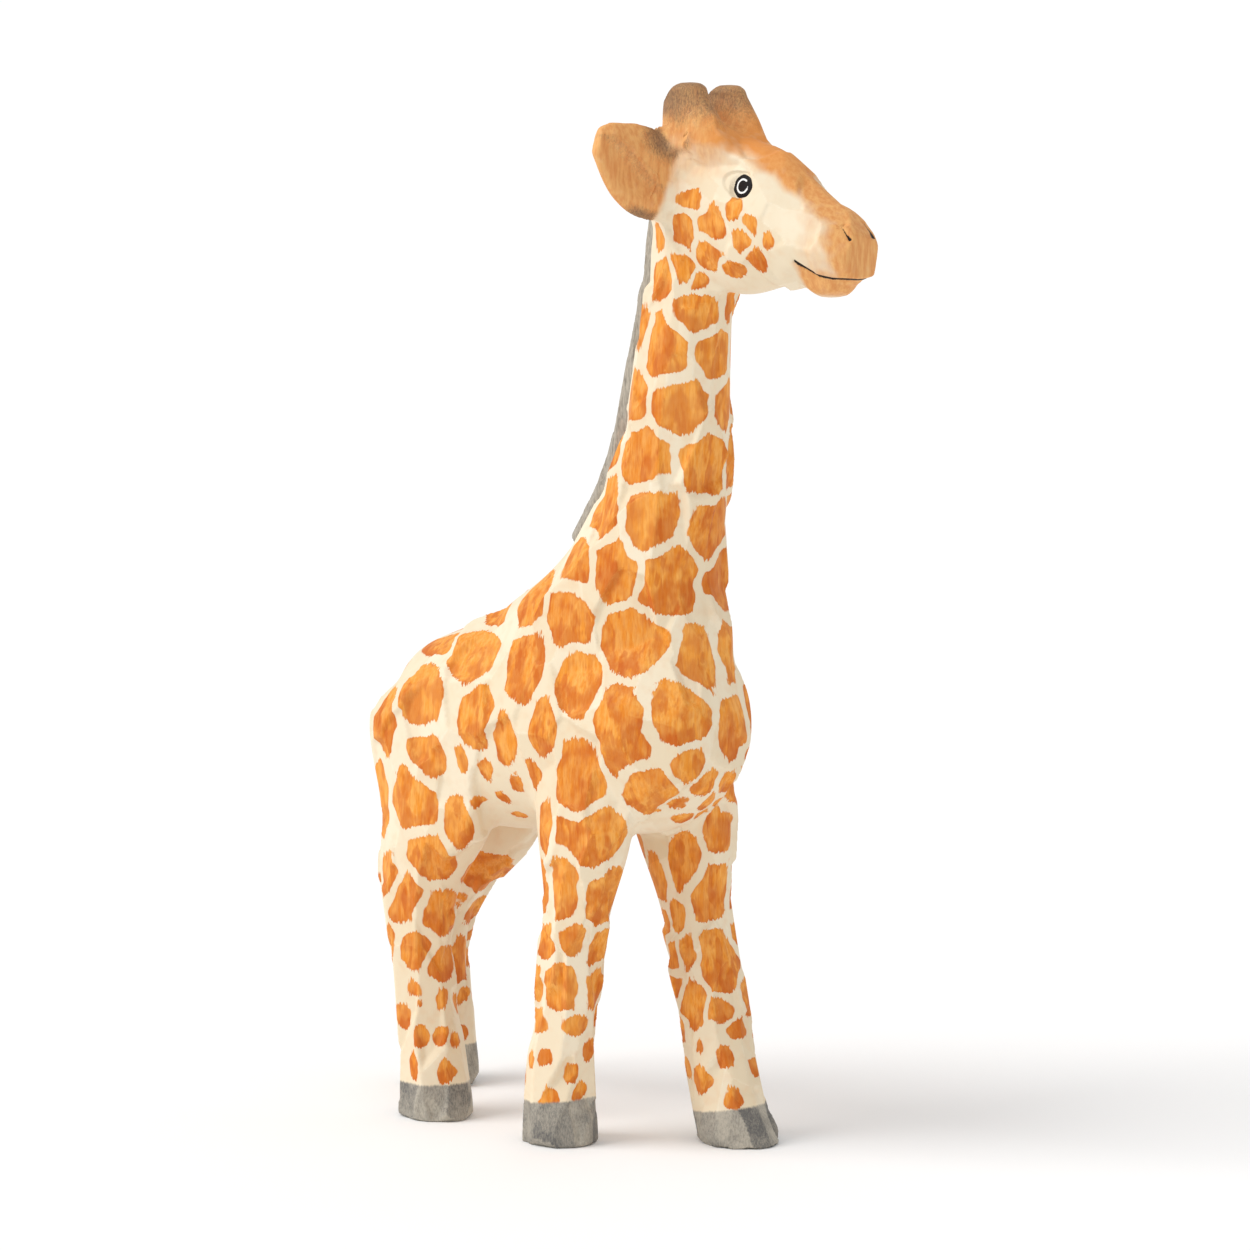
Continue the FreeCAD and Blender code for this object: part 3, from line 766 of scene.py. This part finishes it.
upper_lip = ramp(x + drift, 53.5, 58.0) * ramp(z - lip + drift * 0.6, 3.2, 0.2) * 0.62
blush = ramp(x + drift, 53.0, 57.0) * 0.30
tan = np.maximum.reduce([band, muzzle, chin, upper_lip, blush, crown, on_ear]) * is_head
warm = np.clip(band * ramp(x, 60, 34), 0, 1) * (1 - on_ear)
horn_top = ramp(z + drift * 1.2, 198.0, 206.5) * (0.72 + 0.28 * ramp(x, 29.0, 21.5)) * (1 - on_ear)
upper_rim = ramp(raised / half, 0.05, 0.75) * ramp(step, 10.5, 3.5) * on_ear
under_rim = ramp(raised / half, -0.60, -0.92) * ramp(step, 9.0, 4.0) * on_ear
ear_back = ramp(forward, -0.4, -1.6) * on_ear * 0.55
ear_crease = half * np.interp(step, (2.0, 13.0), (-0.10, 0.50))
into = (ear_crease - raised) / np.maximum(ear_crease + half, 0.5)
# painted shade: each ear's scoop is darkened just under its crease, where the crease shades it
scoop_shade = 0.38 * ramp(into, -0.02, 0.05) * ramp(into, 0.50, 0.05) * on_ear * (forward > -0.5)
# the brownish tint: speckled paint on the horn tops, darker toward the ear's upper and lower edges near the root
# and on its back, plus the painted shade in each ear's scoop
brown = np.maximum.reduce([horn_top, upper_rim, under_rim, ear_back, scoop_shade])
brown = np.clip(brown, 0, 1)
brown = np.maximum(brown, ramp(z, 207.0, 209.0) * 0.85)

HOOF_LINES = {
    "leg_front_right": (-0.1, 0.11),
    "leg_front_left": (1.7, 0.17),
    "leg_hind_right": (1.3, 0.02),
    "leg_hind_left": (0.2, 0.05),
}
hoof_height = z.copy()
for node, (drop, slope) in HOOF_LINES.items():
    foot = centre_at(node, 4)
    on_foot = (z < 20) & (np.hypot(x - foot[0], y - foot[1]) < 14)
    hoof_height[on_foot] += drop - slope * (x[on_foot] - foot[0])

# ---------------------------------------------------------------- fine carving of the head

attributes = {
    "patch": np.where(tan > 0.6, -3.0, patch),
    "patch_mood": patch_mood,
    "patch_down": own_down,
    "cut_tone": tone,
    "arris": np.clip(arris, 0, 1),
    "hoof": hoof_height,
    "tan": tan,
    "warm": warm,
    "brown": brown,
}

whole = bpy.data.meshes.new("whole")
whole.from_pydata(points.tolist(), [], faces.tolist())
for name, values in attributes.items():
    layer = whole.attributes.new(name, "FLOAT", "POINT")
    layer.data.foreach_set("value", values.astype(np.float32))
bm = bmesh.new()
bm.from_mesh(whole)
bpy.data.meshes.remove(whole)

EYE_PLACE = np.array([40.5, 7.6, 190.6])
NOSTRIL_BACK = np.array([61.8, 183.8])
NOSTRIL_FRONT = np.array([64.0, 181.2])


def to_mouth(place):
    """Distance from the mouth line, the same on both sides."""
    px, py, pz = place.T
    level = np.interp(px, MOUTH_X, MOUTH_Z)
    across = np.abs(pz - level) * 0.94
    short = np.hypot(px - MOUTH_X[0], pz - MOUTH_Z[0])
    return np.where(px < MOUTH_X[0], short, across)


def to_nostril(place):
    """Distance from the nostril stroke seen from the side, and how far along it."""
    away = place[:, [0, 2]] - NOSTRIL_BACK
    span = NOSTRIL_FRONT - NOSTRIL_BACK
    share = np.clip(away @ span / (span @ span), 0, 1)
    miss = np.linalg.norm(away - share[:, None] * span, axis=1)
    return np.where(np.abs(place[:, 1]) > 2.3, miss, 9.0), share


def eye_places(place):
    """Coordinates in the plane of the nearer eye: along the face, up, and outward."""
    folded = place.copy()
    folded[:, 1] = np.abs(folded[:, 1])
    away = folded - EYE_PLACE
    return away @ EYE_ALONG, away @ EYE_UP, away @ EYE_OUT


hit = surface.find(EYE_PLACE * (1, -1, 1))
EYE_PLACE = np.abs(np.array(hit[0]))
outward = smoothed(normal, 12)[hit[1]] * (1, -1, 1)
EYE_OUT = outward / np.linalg.norm(outward)
EYE_ALONG = np.array([0.93, 0.0, -0.30])
EYE_ALONG -= EYE_OUT * (EYE_ALONG @ EYE_OUT)
EYE_ALONG /= np.linalg.norm(EYE_ALONG)
EYE_UP = np.cross(EYE_OUT, EYE_ALONG)
EYE_UP *= np.sign(EYE_UP[2])
print("eye", EYE_PLACE, EYE_OUT)

fine = [
    f
    for f in bm.faces
    if f.calc_center_median().z > 170 and f.calc_center_median().x > 30
]
centres = np.array([f.calc_center_median() for f in fine])
wanted = (to_mouth(centres) < 1.1) & (centres[:, 0] > 51.5) & (centres[:, 2] < 179)
wanted |= to_nostril(centres)[0] < 1.2
a, b, c = eye_places(centres)
almond = np.hypot(a / np.where(a < 0, 5.0, 3.6), b / np.where(b > 0, 3.1, 2.9))
wanted |= (np.abs(almond - 1) < 0.35) & (np.abs(c) < 3)
detail_edges = {e for f, w in zip(fine, wanted) if w for e in f.edges}
bmesh.ops.subdivide_edges(bm, edges=list(detail_edges), cuts=2, use_grid_fill=True)
bm.verts.index_update()
bm.normal_update()
co = np.array([v.co for v in bm.verts])
out = np.array([v.normal for v in bm.verts])
px, py, pz = co.T
face_zone = (pz > 169) & (px > 30)

# eye hollow, with a sharp lid above and a soft lower end
a, b, c = eye_places(co)
almond = np.hypot(a / np.where(a < 0, 4.7, 3.3), b / np.where(b > 0, 2.8, 2.7))
lid = ramp(1 - almond, 0.0, 0.16) * (0.35 + 0.65 * np.clip((b + 2.8) / 5.6, 0, 1))
lid = np.where(face_zone & (np.abs(c) < 3.5), lid, 0)
flatten = ramp(np.hypot(a, b), 3.0, 2.3) * np.where(np.abs(c) < 3.5, 1, 0)
eye_outward = np.repeat(EYE_OUT[None, :], len(co), axis=0)
eye_outward[:, 1] *= np.sign(py)
co -= eye_outward * (0.75 * lid)[:, None]
a, b, c = eye_places(co)
EYE_FLOOR = -0.75 * 0.7
co -= eye_outward * ((c - EYE_FLOOR) * flatten * np.where(face_zone, 1, 0))[:, None]

# jaw set back under the upper lip, and the notch behind the chin
px, py, pz = co.T
level = np.interp(px, MOUTH_X, MOUTH_Z)
jaw = ramp(level - pz, 0.0, 0.45) * ramp(px, 52.5, 55.5) * np.where(face_zone, 1, 0)
co[:, 0] -= 1.25 * jaw * ramp(px, 57.0, 64.0)
co[:, 1] *= 1 - 0.07 * jaw
notch = np.exp(-(((px - 51.3) / 2.3) ** 2)) * ramp(pz, 176.0, 172.5) * face_zone
co[:, 2] += 1.2 * notch

# mouth groove and nostril slits
px, py, pz = co.T
mouth = np.where(face_zone & (pz < 180) & (px > 50), to_mouth(co), 9.0)
co -= out * (0.50 * np.exp(-((mouth / 0.34) ** 2)))[:, None]
slit, share = to_nostril(co)
co -= out * (0.25 * np.exp(-((slit / 0.26) ** 2)))[:, None]
line = np.interp(px, (52.5, 53.4, 54.6, 60.0), (0.20, 0.42, 0.34, 0.22))
ink = np.maximum(line - mouth, np.interp(share, (0, 0.6, 1), (0.03, 0.09, 0.22)) - slit)
ink = np.clip(ink, -3, 3)
low = np.array(CAD_BOX[0]) / MM
high = np.array(CAD_BOX[1]) / MM
co = np.clip(co, low, high) * MM
ink_layer = bm.verts.layers.float.new("ink")
for v, place, value in zip(bm.verts, co.tolist(), ink.tolist()):
    v.co = place
    v[ink_layer] = value
attributes["ink"] = None

skin = BVHTree.FromBMesh(bm)

# ---------------------------------------------------------------- pieces


def slice_through(place, direction, zone):
    """Cuts the skin's faces along a plane where they lie in a zone."""
    place = Vector(place) * MM
    direction = Vector(direction).normalized()
    parts = set()
    for f in bm.faces:
        c = f.calc_center_median()
        if abs((c - place).dot(direction)) < 0.002 and zone(c / MM):
            parts.add(f)
            parts.update(f.edges)
            parts.update(f.verts)
    bmesh.ops.bisect_plane(
        bm, geom=list(parts), dist=1e-7, plane_co=place, plane_no=direction
    )


TAN_PIECES = ("horn_left", "horn_right", "ear_left", "ear_right")
HORN_SPLIT = 200.9
EAR_SPLIT = 3.0


def horn_side(c):
    return c.z > 200.5 and abs(c.y) < 9.4


def ear_side(c):
    return abs(c.y) > 6 and 178 < c.z < 205 and c.x < 31 and not horn_side(c)


for height in (LEG_JOINT, NECK_JOINT, HEAD_JOINT):
    slice_through((0, 0, height), (0, 0, 1), lambda c: True)
slice_through((0, 0, HORN_SPLIT), (0, 0, 1), lambda c: abs(c.y) < 9.6)
for side in (-1, 1):
    mirror = np.array([1, side, 1])
    slice_through(
        (EAR_ROOT + ear_along * EAR_SPLIT) * mirror,
        ear_along * mirror,
        lambda c: ear_side(c) and c.y * side > 0,
    )


def piece_of(face):
    """The name of the subcomponent that a face of the skin belongs to."""
    c = face.calc_center_median() / MM
    hand = "left" if c.y > 0 else "right"
    if c.z > HORN_SPLIT and abs(c.y) < 9.4:
        return "horn_" + hand
    away = Vector((c.x, abs(c.y), c.z)) - Vector(EAR_ROOT)
    if ear_side(c) and away.dot(Vector(ear_along)) > EAR_SPLIT:
        return "ear_" + hand
    if c.z > HEAD_JOINT:
        return "head"
    if c.z > NECK_JOINT:
        return "neck"
    if c.z > LEG_JOINT:
        return "trunk"
    return f"leg_{'front' if c.x > -14 else 'hind'}_{hand}"


def split_loose(chosen):
    """The largest joined-up set of the chosen faces, and the rest."""
    left = set(chosen)
    sets = []
    while left:
        joined = [left.pop()]
        for number in joined:
            for e in bm.faces[number].edges:
                for f in e.link_faces:
                    if f.index in left:
                        left.remove(f.index)
                        joined.append(f.index)
        sets.append(sorted(joined))
    sets.sort(key=len)
    return sets[-1], [number for small in sets[:-1] for number in small]


groups = {}
bm.faces.index_update()
bm.faces.ensure_lookup_table()
for f in bm.faces:
    groups.setdefault(piece_of(f), []).append(f.index)
for name in TAN_PIECES:
    groups[name], stray = split_loose(groups[name])
    groups["head"] += stray
bm.verts.index_update()

whole_points = np.array([v.co for v in bm.verts])
layers = {name: bm.verts.layers.float[name] for name in attributes}
whole_values = {
    name: np.array([v[layer] for v in bm.verts], np.float32)
    for name, layer in layers.items()
}
face_points = [[v.index for v in f.verts] for f in bm.faces]
bm.free()


def capped(name, chosen):
    """A closed piece from the chosen faces, with flat caps where it was cut off."""
    rows = [face_points[i] for i in chosen]
    used = np.unique(np.concatenate([np.array(r) for r in rows]))
    renumber = {int(v): i for i, v in enumerate(used)}
    mesh = bpy.data.meshes.new(name)
    mesh.from_pydata(
        whole_points[used].tolist(), [], [[renumber[v] for v in r] for r in rows]
    )
    for key, values in whole_values.items():
        layer = mesh.attributes.new(key, "FLOAT", "POINT")
        layer.data.foreach_set("value", values[used])
    part = bmesh.new()
    part.from_mesh(mesh)
    open_edges = [e for e in part.edges if e.is_boundary]
    if open_edges:
        for e in open_edges:
            e.smooth = False
        bmesh.ops.holes_fill(part, edges=open_edges, sides=0)
        caps = [f for f in part.faces if len(f.verts) > 6]
        bmesh.ops.poke(part, faces=caps)
    bmesh.ops.recalc_face_normals(part, faces=part.faces)
    for f in part.faces:
        f.smooth = True
    part.to_mesh(mesh)
    print(name, len(part.faces), "open", sum(not e.is_manifold for e in part.edges))
    part.free()
    return mesh


# ---------------------------------------------------------------- materials

CREAM = srgb(240, 226, 200)
CREAM_LIGHT = srgb(248, 240, 220)
CREAM_DEEP = srgb(230, 211, 179)
ORANGE = srgb(236, 148, 48)
ORANGE_LIGHT = srgb(244, 175, 88)
ORANGE_DEEP = srgb(196, 92, 26)
HOOF = srgb(186, 178, 163)
HOOF_DARK = srgb(106, 104, 101)
TAN = srgb(235, 178, 112)
TAN_DEEP = srgb(218, 148, 88)
BROW = srgb(224, 144, 70)
BROWN = srgb(146, 116, 88)
BROWN_DEEP = srgb(108, 88, 72)
INK = srgb(38, 32, 28)


def painted_material(name):
    n = Nodes(name)
    patch = n.attribute("patch")
    down = n.attribute("patch_down")
    grain_fine = n.noise((0.30, 0.30, 3.0), 3, 0.6)
    bristle = n.noise((0.45, 0.45, 2.6), 2, 0.6, 4.0)
    ragged = n.maths("MULTIPLY", n.maths("SUBTRACT", bristle, 0.5), 1.9)
    ends = n.step(n.maths("ABSOLUTE", down), 0.35, 0.85, 0.22, 1.0)
    broad = n.maths("SUBTRACT", n.noise((2.2, 2.2, 2.2), 1, 0.5, 9.0), 0.5)
    edge = n.maths("ADD", patch, n.maths("MULTIPLY", broad, 0.8))
    edge = n.maths("ADD", edge, n.maths("MULTIPLY", ragged, ends))
    cover = n.step(edge, -0.10, 0.12)
    # the ground colour, a little different on each cut
    tone = n.attribute("cut_tone")
    ground = n.mix(n.step(tone, -1, 1, 0, 0.8), CREAM, CREAM_DEEP)
    cloud = n.noise((5, 5, 12), 2, 0.5, 2.0)
    ground = n.mix(n.step(cloud, 0.45, 0.75, 0, 0.5), ground, CREAM_DEEP)
    # translucent orange: light and dark strokes along the grain
    stroke = n.noise((0.9, 0.9, 5.0), 3, 0.65, 6.0)
    mood = n.attribute("patch_mood")
    body = n.mix(n.step(stroke, 0.34, 0.66), ORANGE, ORANGE_LIGHT)
    second = n.maths("ADD", n.noise((3.4, 3.4, 5.0), 2, 0.5, 13.0), n.maths("MULTIPLY", down, 0.10))
    second = n.maths("ADD", second, n.maths("MULTIPLY", mood, 0.10))
    body = n.mix(n.step(second, 0.46, 0.70, 0, 0.62), body, ORANGE_DEEP)
    third = n.maths("ADD", n.noise((1.9, 1.9, 6.5), 2, 0.5, 31.0), n.maths("MULTIPLY", down, 0.08))
    body = n.mix(n.step(third, 0.55, 0.62, 0, 0.52), body, ORANGE_DEEP)
    fine = n.step(grain_fine, 0.42, 0.72, 0, 0.34)
    body = n.mix(fine, body, ORANGE_DEEP)
    rim = n.maths("SUBTRACT", 1.0, n.step(edge, 0.05, 0.7))
    body = n.mix(n.maths("MULTIPLY", rim, 0.22), body, ORANGE_DEEP)
    body = n.mix(n.step(tone, 0.1, 1, 0, 0.30), body, ORANGE_DEEP)
    body = n.mix(n.step(tone, -0.1, -1, 0, 0.22), body, ORANGE_LIGHT)
    # the edges between cuts catch a little less paint
    crest = n.step(n.attribute("arris"), 0.15, 0.02, 0, 0.28)
    body = n.mix(crest, body, ORANGE_LIGHT)
    ground = n.mix(crest, ground, CREAM_LIGHT)
    colour = n.mix(cover, ground, body)
    # the tinted head: tan muzzle, ears and horns, a warmer brow, and a brownish-grey tint on the horn tops and ear
    # edges that also carries painted shade in the ear scoops
    tan = n.maths("ADD", n.attribute("tan"), n.maths("MULTIPLY", broad, 0.5))
    tan = n.maths("MULTIPLY", tan, 1.05, clamp=True)
    tan_colour = n.mix(n.step(stroke, 0.3, 0.7), TAN, TAN_DEEP)
    tan_colour = n.mix(n.attribute("warm"), tan_colour, BROW)
    tan_colour = n.mix(n.step(grain_fine, 0.45, 0.75, 0, 0.2), tan_colour, TAN_DEEP)
    colour = n.mix(tan, colour, tan_colour)
    speck = n.noise((0.28, 0.28, 0.7), 3, 0.75, 17.0)
    shade = n.maths("ADD", n.attribute("brown"), n.maths("MULTIPLY", n.maths("SUBTRACT", speck, 0.5), 0.9))
    shade = n.step(shade, 0.1, 1.0, 0, 0.85)
    brown_colour = n.mix(n.step(speck, 0.4, 0.65), BROWN, BROWN_DEEP)
    colour = n.mix(shade, colour, brown_colour)
    # the hooves
    hoof_line = n.maths("ADD", n.attribute("hoof"), n.maths("MULTIPLY", ragged, 0.35))
    hoof = n.step(hoof_line, 8.3, 8.9, 1, 0)
    hoof_grain = n.noise((0.30, 0.30, 0.8), 3, 0.75, 21.0)
    hoof_cloud = n.noise((5, 5, 6), 2, 0.5, 25.0)
    hoof_dark = n.maths("ADD", n.step(tone, -0.6, 0.9, 0.0, 0.55), n.step(hoof_cloud, 0.4, 0.62, 0, 0.35))
    hoof_dark = n.maths("ADD", hoof_dark, n.step(hoof_grain, 0.38, 0.66, -0.12, 0.30), clamp=True)
    hoof_colour = n.mix(hoof_dark, HOOF, HOOF_DARK)
    colour = n.mix(hoof, colour, hoof_colour)
    # the mouth line and nostrils
    ink = n.maths("ADD", n.attribute("ink"), n.maths("MULTIPLY", n.maths("SUBTRACT", speck, 0.5), 0.25))
    colour = n.mix(n.step(ink, -0.06, 0.08), colour, INK)
    n.link(colour, n.shader.inputs["Base Color"])
    n.shader.inputs["Roughness"].default_value = 0.55
    n.shader.inputs["Specular IOR Level"].default_value = 0.14
    height = n.maths("ADD", n.maths("MULTIPLY", grain_fine, 0.5), n.maths("MULTIPLY", stroke, 0.2))
    n.link(n.bump(height, 0.05), n.shader.inputs["Normal"])
    return n.material


painted_wood = painted_material("painted_wood")


def plain_material(name, light, dark):
    n = Nodes(name)
    speck = n.noise((0.4, 0.4, 2.2), 3, 0.7, 3.0)
    colour = n.mix(n.step(speck, 0.35, 0.7), light, dark)
    n.link(colour, n.shader.inputs["Base Color"])
    n.shader.inputs["Roughness"].default_value = 0.6
    n.link(n.bump(speck, 0.05), n.shader.inputs["Normal"])
    return n.material


tan_wood = painted_material("tan_painted_wood")
grey_wood = plain_material("grey_painted_wood", srgb(180, 170, 154), srgb(132, 124, 112))
bare_wood = plain_material("bare_wood", srgb(228, 205, 168), srgb(205, 176, 134))

MATERIALS = {
    "painted_wood": painted_wood,
    "tan_painted_wood": tan_wood,
    "grey_painted_wood": grey_wood,
    "bare_wood": bare_wood,
}


def add_piece(name, mesh, slot, *stands_for):
    thing = bpy.data.objects.new("carved_" + name, mesh)
    bpy.context.scene.collection.objects.link(thing)
    mesh.materials.append(MATERIALS[slot])
    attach(thing, "root")
    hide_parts(*stands_for)
    return thing


for name, chosen in sorted(groups.items()):
    slot = "tan_painted_wood" if name in TAN_PIECES else "painted_wood"
    add_piece(name, capped(name, chosen), slot, name)

# ---------------------------------------------------------------- eyes


def shiny(name, colour, rough):
    n = Nodes(name)
    n.link(n.mix(n.noise((0.3, 0.3, 0.3), 2), colour, srgb(32, 28, 28)), n.shader.inputs["Base Color"])
    n.shader.inputs["Roughness"].default_value = rough
    n.shader.inputs["Specular IOR Level"].default_value = 0.1
    return n.material


eye_black = shiny("eye_black", srgb(22, 20, 20), 0.4)
n = Nodes("eye_white")
n.link(n.mix(n.noise((0.3, 0.3, 0.3), 2), srgb(250, 250, 248), srgb(232, 232, 230)), n.shader.inputs["Base Color"])
n.shader.inputs["Roughness"].default_value = 0.4
n.shader.inputs["Specular IOR Level"].default_value = 0.1
eye_white = n.material
EYE_RADIUS = 2.32
EYE_TURNS = 96
EYE_RINGS = (0.0, 0.25, 0.5, 0.75, 1.0, 1.12, 1.24, 1.36, 1.48, 1.6, 1.75, 1.9, 2.05, 2.22, 2.32)
for side, hand in ((-1, "right"), (1, "left")):
    along = EYE_ALONG * (1, side, 1)
    up = EYE_UP * (1, side, 1)
    out_dir = EYE_OUT * (1, side, 1)
    centre = EYE_PLACE * (1, side, 1) + out_dir * (EYE_FLOOR + 0.06)
    corners = []
    rows = []
    for ring, radius in enumerate(EYE_RINGS[1:]):
        for k in range(EYE_TURNS):
            angle = 2 * math.pi * k / EYE_TURNS
            uneven = 1 + 0.025 * math.sin(3 * angle + 1) + 0.02 * math.sin(7 * angle)
            r = radius * (1 + (uneven - 1) * (radius / EYE_RADIUS) ** 2)
            dome = 0.10 + 0.16 * (1 - (radius / EYE_RADIUS) ** 2)
            if radius == EYE_RADIUS:
                dome = -0.12
            over = centre + along * r * 1.07 * math.cos(angle) + up * r * math.sin(angle)
            ground = skin.ray_cast(Vector((over + out_dir * 3) * MM), Vector(-out_dir), 6 * MM)[0]
            corners.append(np.array(ground) / MM + out_dir * dome)
    tip = len(corners)
    ground = skin.ray_cast(Vector((centre + out_dir * 3) * MM), Vector(-out_dir), 6 * MM)[0]
    corners.append(np.array(ground) / MM + out_dir * 0.26)
    back = len(corners)
    corners.append(centre - out_dir * 0.9)
    whites = []
    for k in range(EYE_TURNS):
        after = (k + 1) % EYE_TURNS
        rows.append((tip, k, after))
        whites.append(0)
        for ring in range(len(EYE_RINGS) - 2):
            a = ring * EYE_TURNS
            b = a + EYE_TURNS
            rows.append((a + k, b + k, b + after, a + after))
            middle = (EYE_RINGS[ring + 1] + EYE_RINGS[ring + 2]) / 2
            turn = math.degrees(2 * math.pi * (k + 0.5) / EYE_TURNS)
            gap_end = min(abs(turn - 20), abs(turn - 75)) if turn > 180 else 99
            ringed = 1.12 < middle < 1.48 and not 18 < turn < 62
            if ringed and (turn < 24 or 56 < turn < 68):
                ringed = 1.2 < middle < 1.4
            whites.append(1 if ringed else 0)
        last = (len(EYE_RINGS) - 2) * EYE_TURNS
        rows.append((back, last + after, last + k))
        whites.append(0)
    mesh = bpy.data.meshes.new("eye_" + hand)
    mesh.from_pydata([list(c * MM) for c in corners], [], rows)
    tidy = bmesh.new()
    tidy.from_mesh(mesh)
    bmesh.ops.recalc_face_normals(tidy, faces=tidy.faces)
    tidy.to_mesh(mesh)
    tidy.free()
    mesh.materials.append(eye_black)
    mesh.materials.append(eye_white)
    mesh.polygons.foreach_set("material_index", whites)
    mesh.polygons.foreach_set("use_smooth", [True] * len(mesh.polygons))
    thing = bpy.data.objects.new("painted_eye_" + hand, mesh)
    bpy.context.scene.collection.objects.link(thing)
    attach(thing, "root")
    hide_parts("head")

def long_cuts(place):
    return np.full(len(place), 7.0), np.full(len(place), 1.5)


def upright(place, flat):
    grain = np.zeros_like(place)
    grain[:, 2] = 1.0
    grain -= flat * flat[:, 2][:, None]
    weak = np.linalg.norm(grain, axis=1) < 0.2
    grain[weak] = np.cross(flat[weak], (0.0, 1.0, 0.0))
    return grain / np.linalg.norm(grain, axis=1, keepdims=True)


TUFT_TOP = 63.0
for name in ("mane", "tail"):
    place, quads = grid_mesh([name], 0.35)
    edges = edges_of(quads)
    count = np.bincount(edges.ravel(), minlength=len(place)).astype(float)
    for turn in range(3):
        place += (neighbour_mean(place, edges, count) - place) * 0.5
    normal = normals_of(place, quads)
    soft_normal = smoothed(normal, 4)
    soft_normal /= np.linalg.norm(soft_normal, axis=1, keepdims=True)
    cut, own_tone, _ = knife(
        place, normal, soft_normal, long_cuts, upright,
        lambda seed: np.full(len(seed), 0.02), random.permutation(len(place))[:12000],
    )
    place = place - normal * np.clip(cut, -0.2, 0.3)[:, None]
    if name == "mane":
        place[:, 0] -= 0.9 * ramp(place[:, 2], 186, 193)
        place[:, 2] += 0.6 * ramp(place[:, 2], 193, 197)
    place = np.clip(place, low, high)
    mesh = bpy.data.meshes.new(name)
    mesh.from_pydata((place * MM).tolist(), [], quads.tolist())
    mesh.polygons.foreach_set("use_smooth", [True] * len(mesh.polygons))
    height = place[:, 2]
    values = {
        "cut_tone": own_tone,
        "patch": np.full(len(place), -3.0),
        "ink": np.full(len(place), -3.0),
        "hoof": height - TUFT_TOP + 8.6 if name == "tail" else np.zeros(len(place)),
    }
    for key, value in values.items():
        mesh.attributes.new(key, "FLOAT", "POINT").data.foreach_set(
            "value", value.astype(np.float32)
        )
    slot = "grey_painted_wood" if name == "mane" else "painted_wood"
    add_piece(name, mesh, slot, name)

for name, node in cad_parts.items():
    if name.startswith("dowel"):
        for material_slot in node.material_slots:
            material_slot.link = "OBJECT"
            material_slot.material = bare_wood

# ---------------------------------------------------------------- floor

floor_mesh = bpy.data.meshes.new("floor")
size = 6.0
floor_mesh.from_pydata(
    [(-size, -size, 0), (size, -size, 0), (size, size, 0), (-size, size, 0)], [], [(0, 1, 2, 3)]
)
floor = bpy.data.objects.new("floor", floor_mesh)
bpy.context.scene.collection.objects.link(floor)
n = Nodes("floor")
n.shader.inputs["Base Color"].default_value = (0.97, 0.97, 0.97, 1)
n.shader.inputs["Roughness"].default_value = 0.8
n.shader.inputs["Specular IOR Level"].default_value = 0.1
floor_mesh.materials.append(n.material)
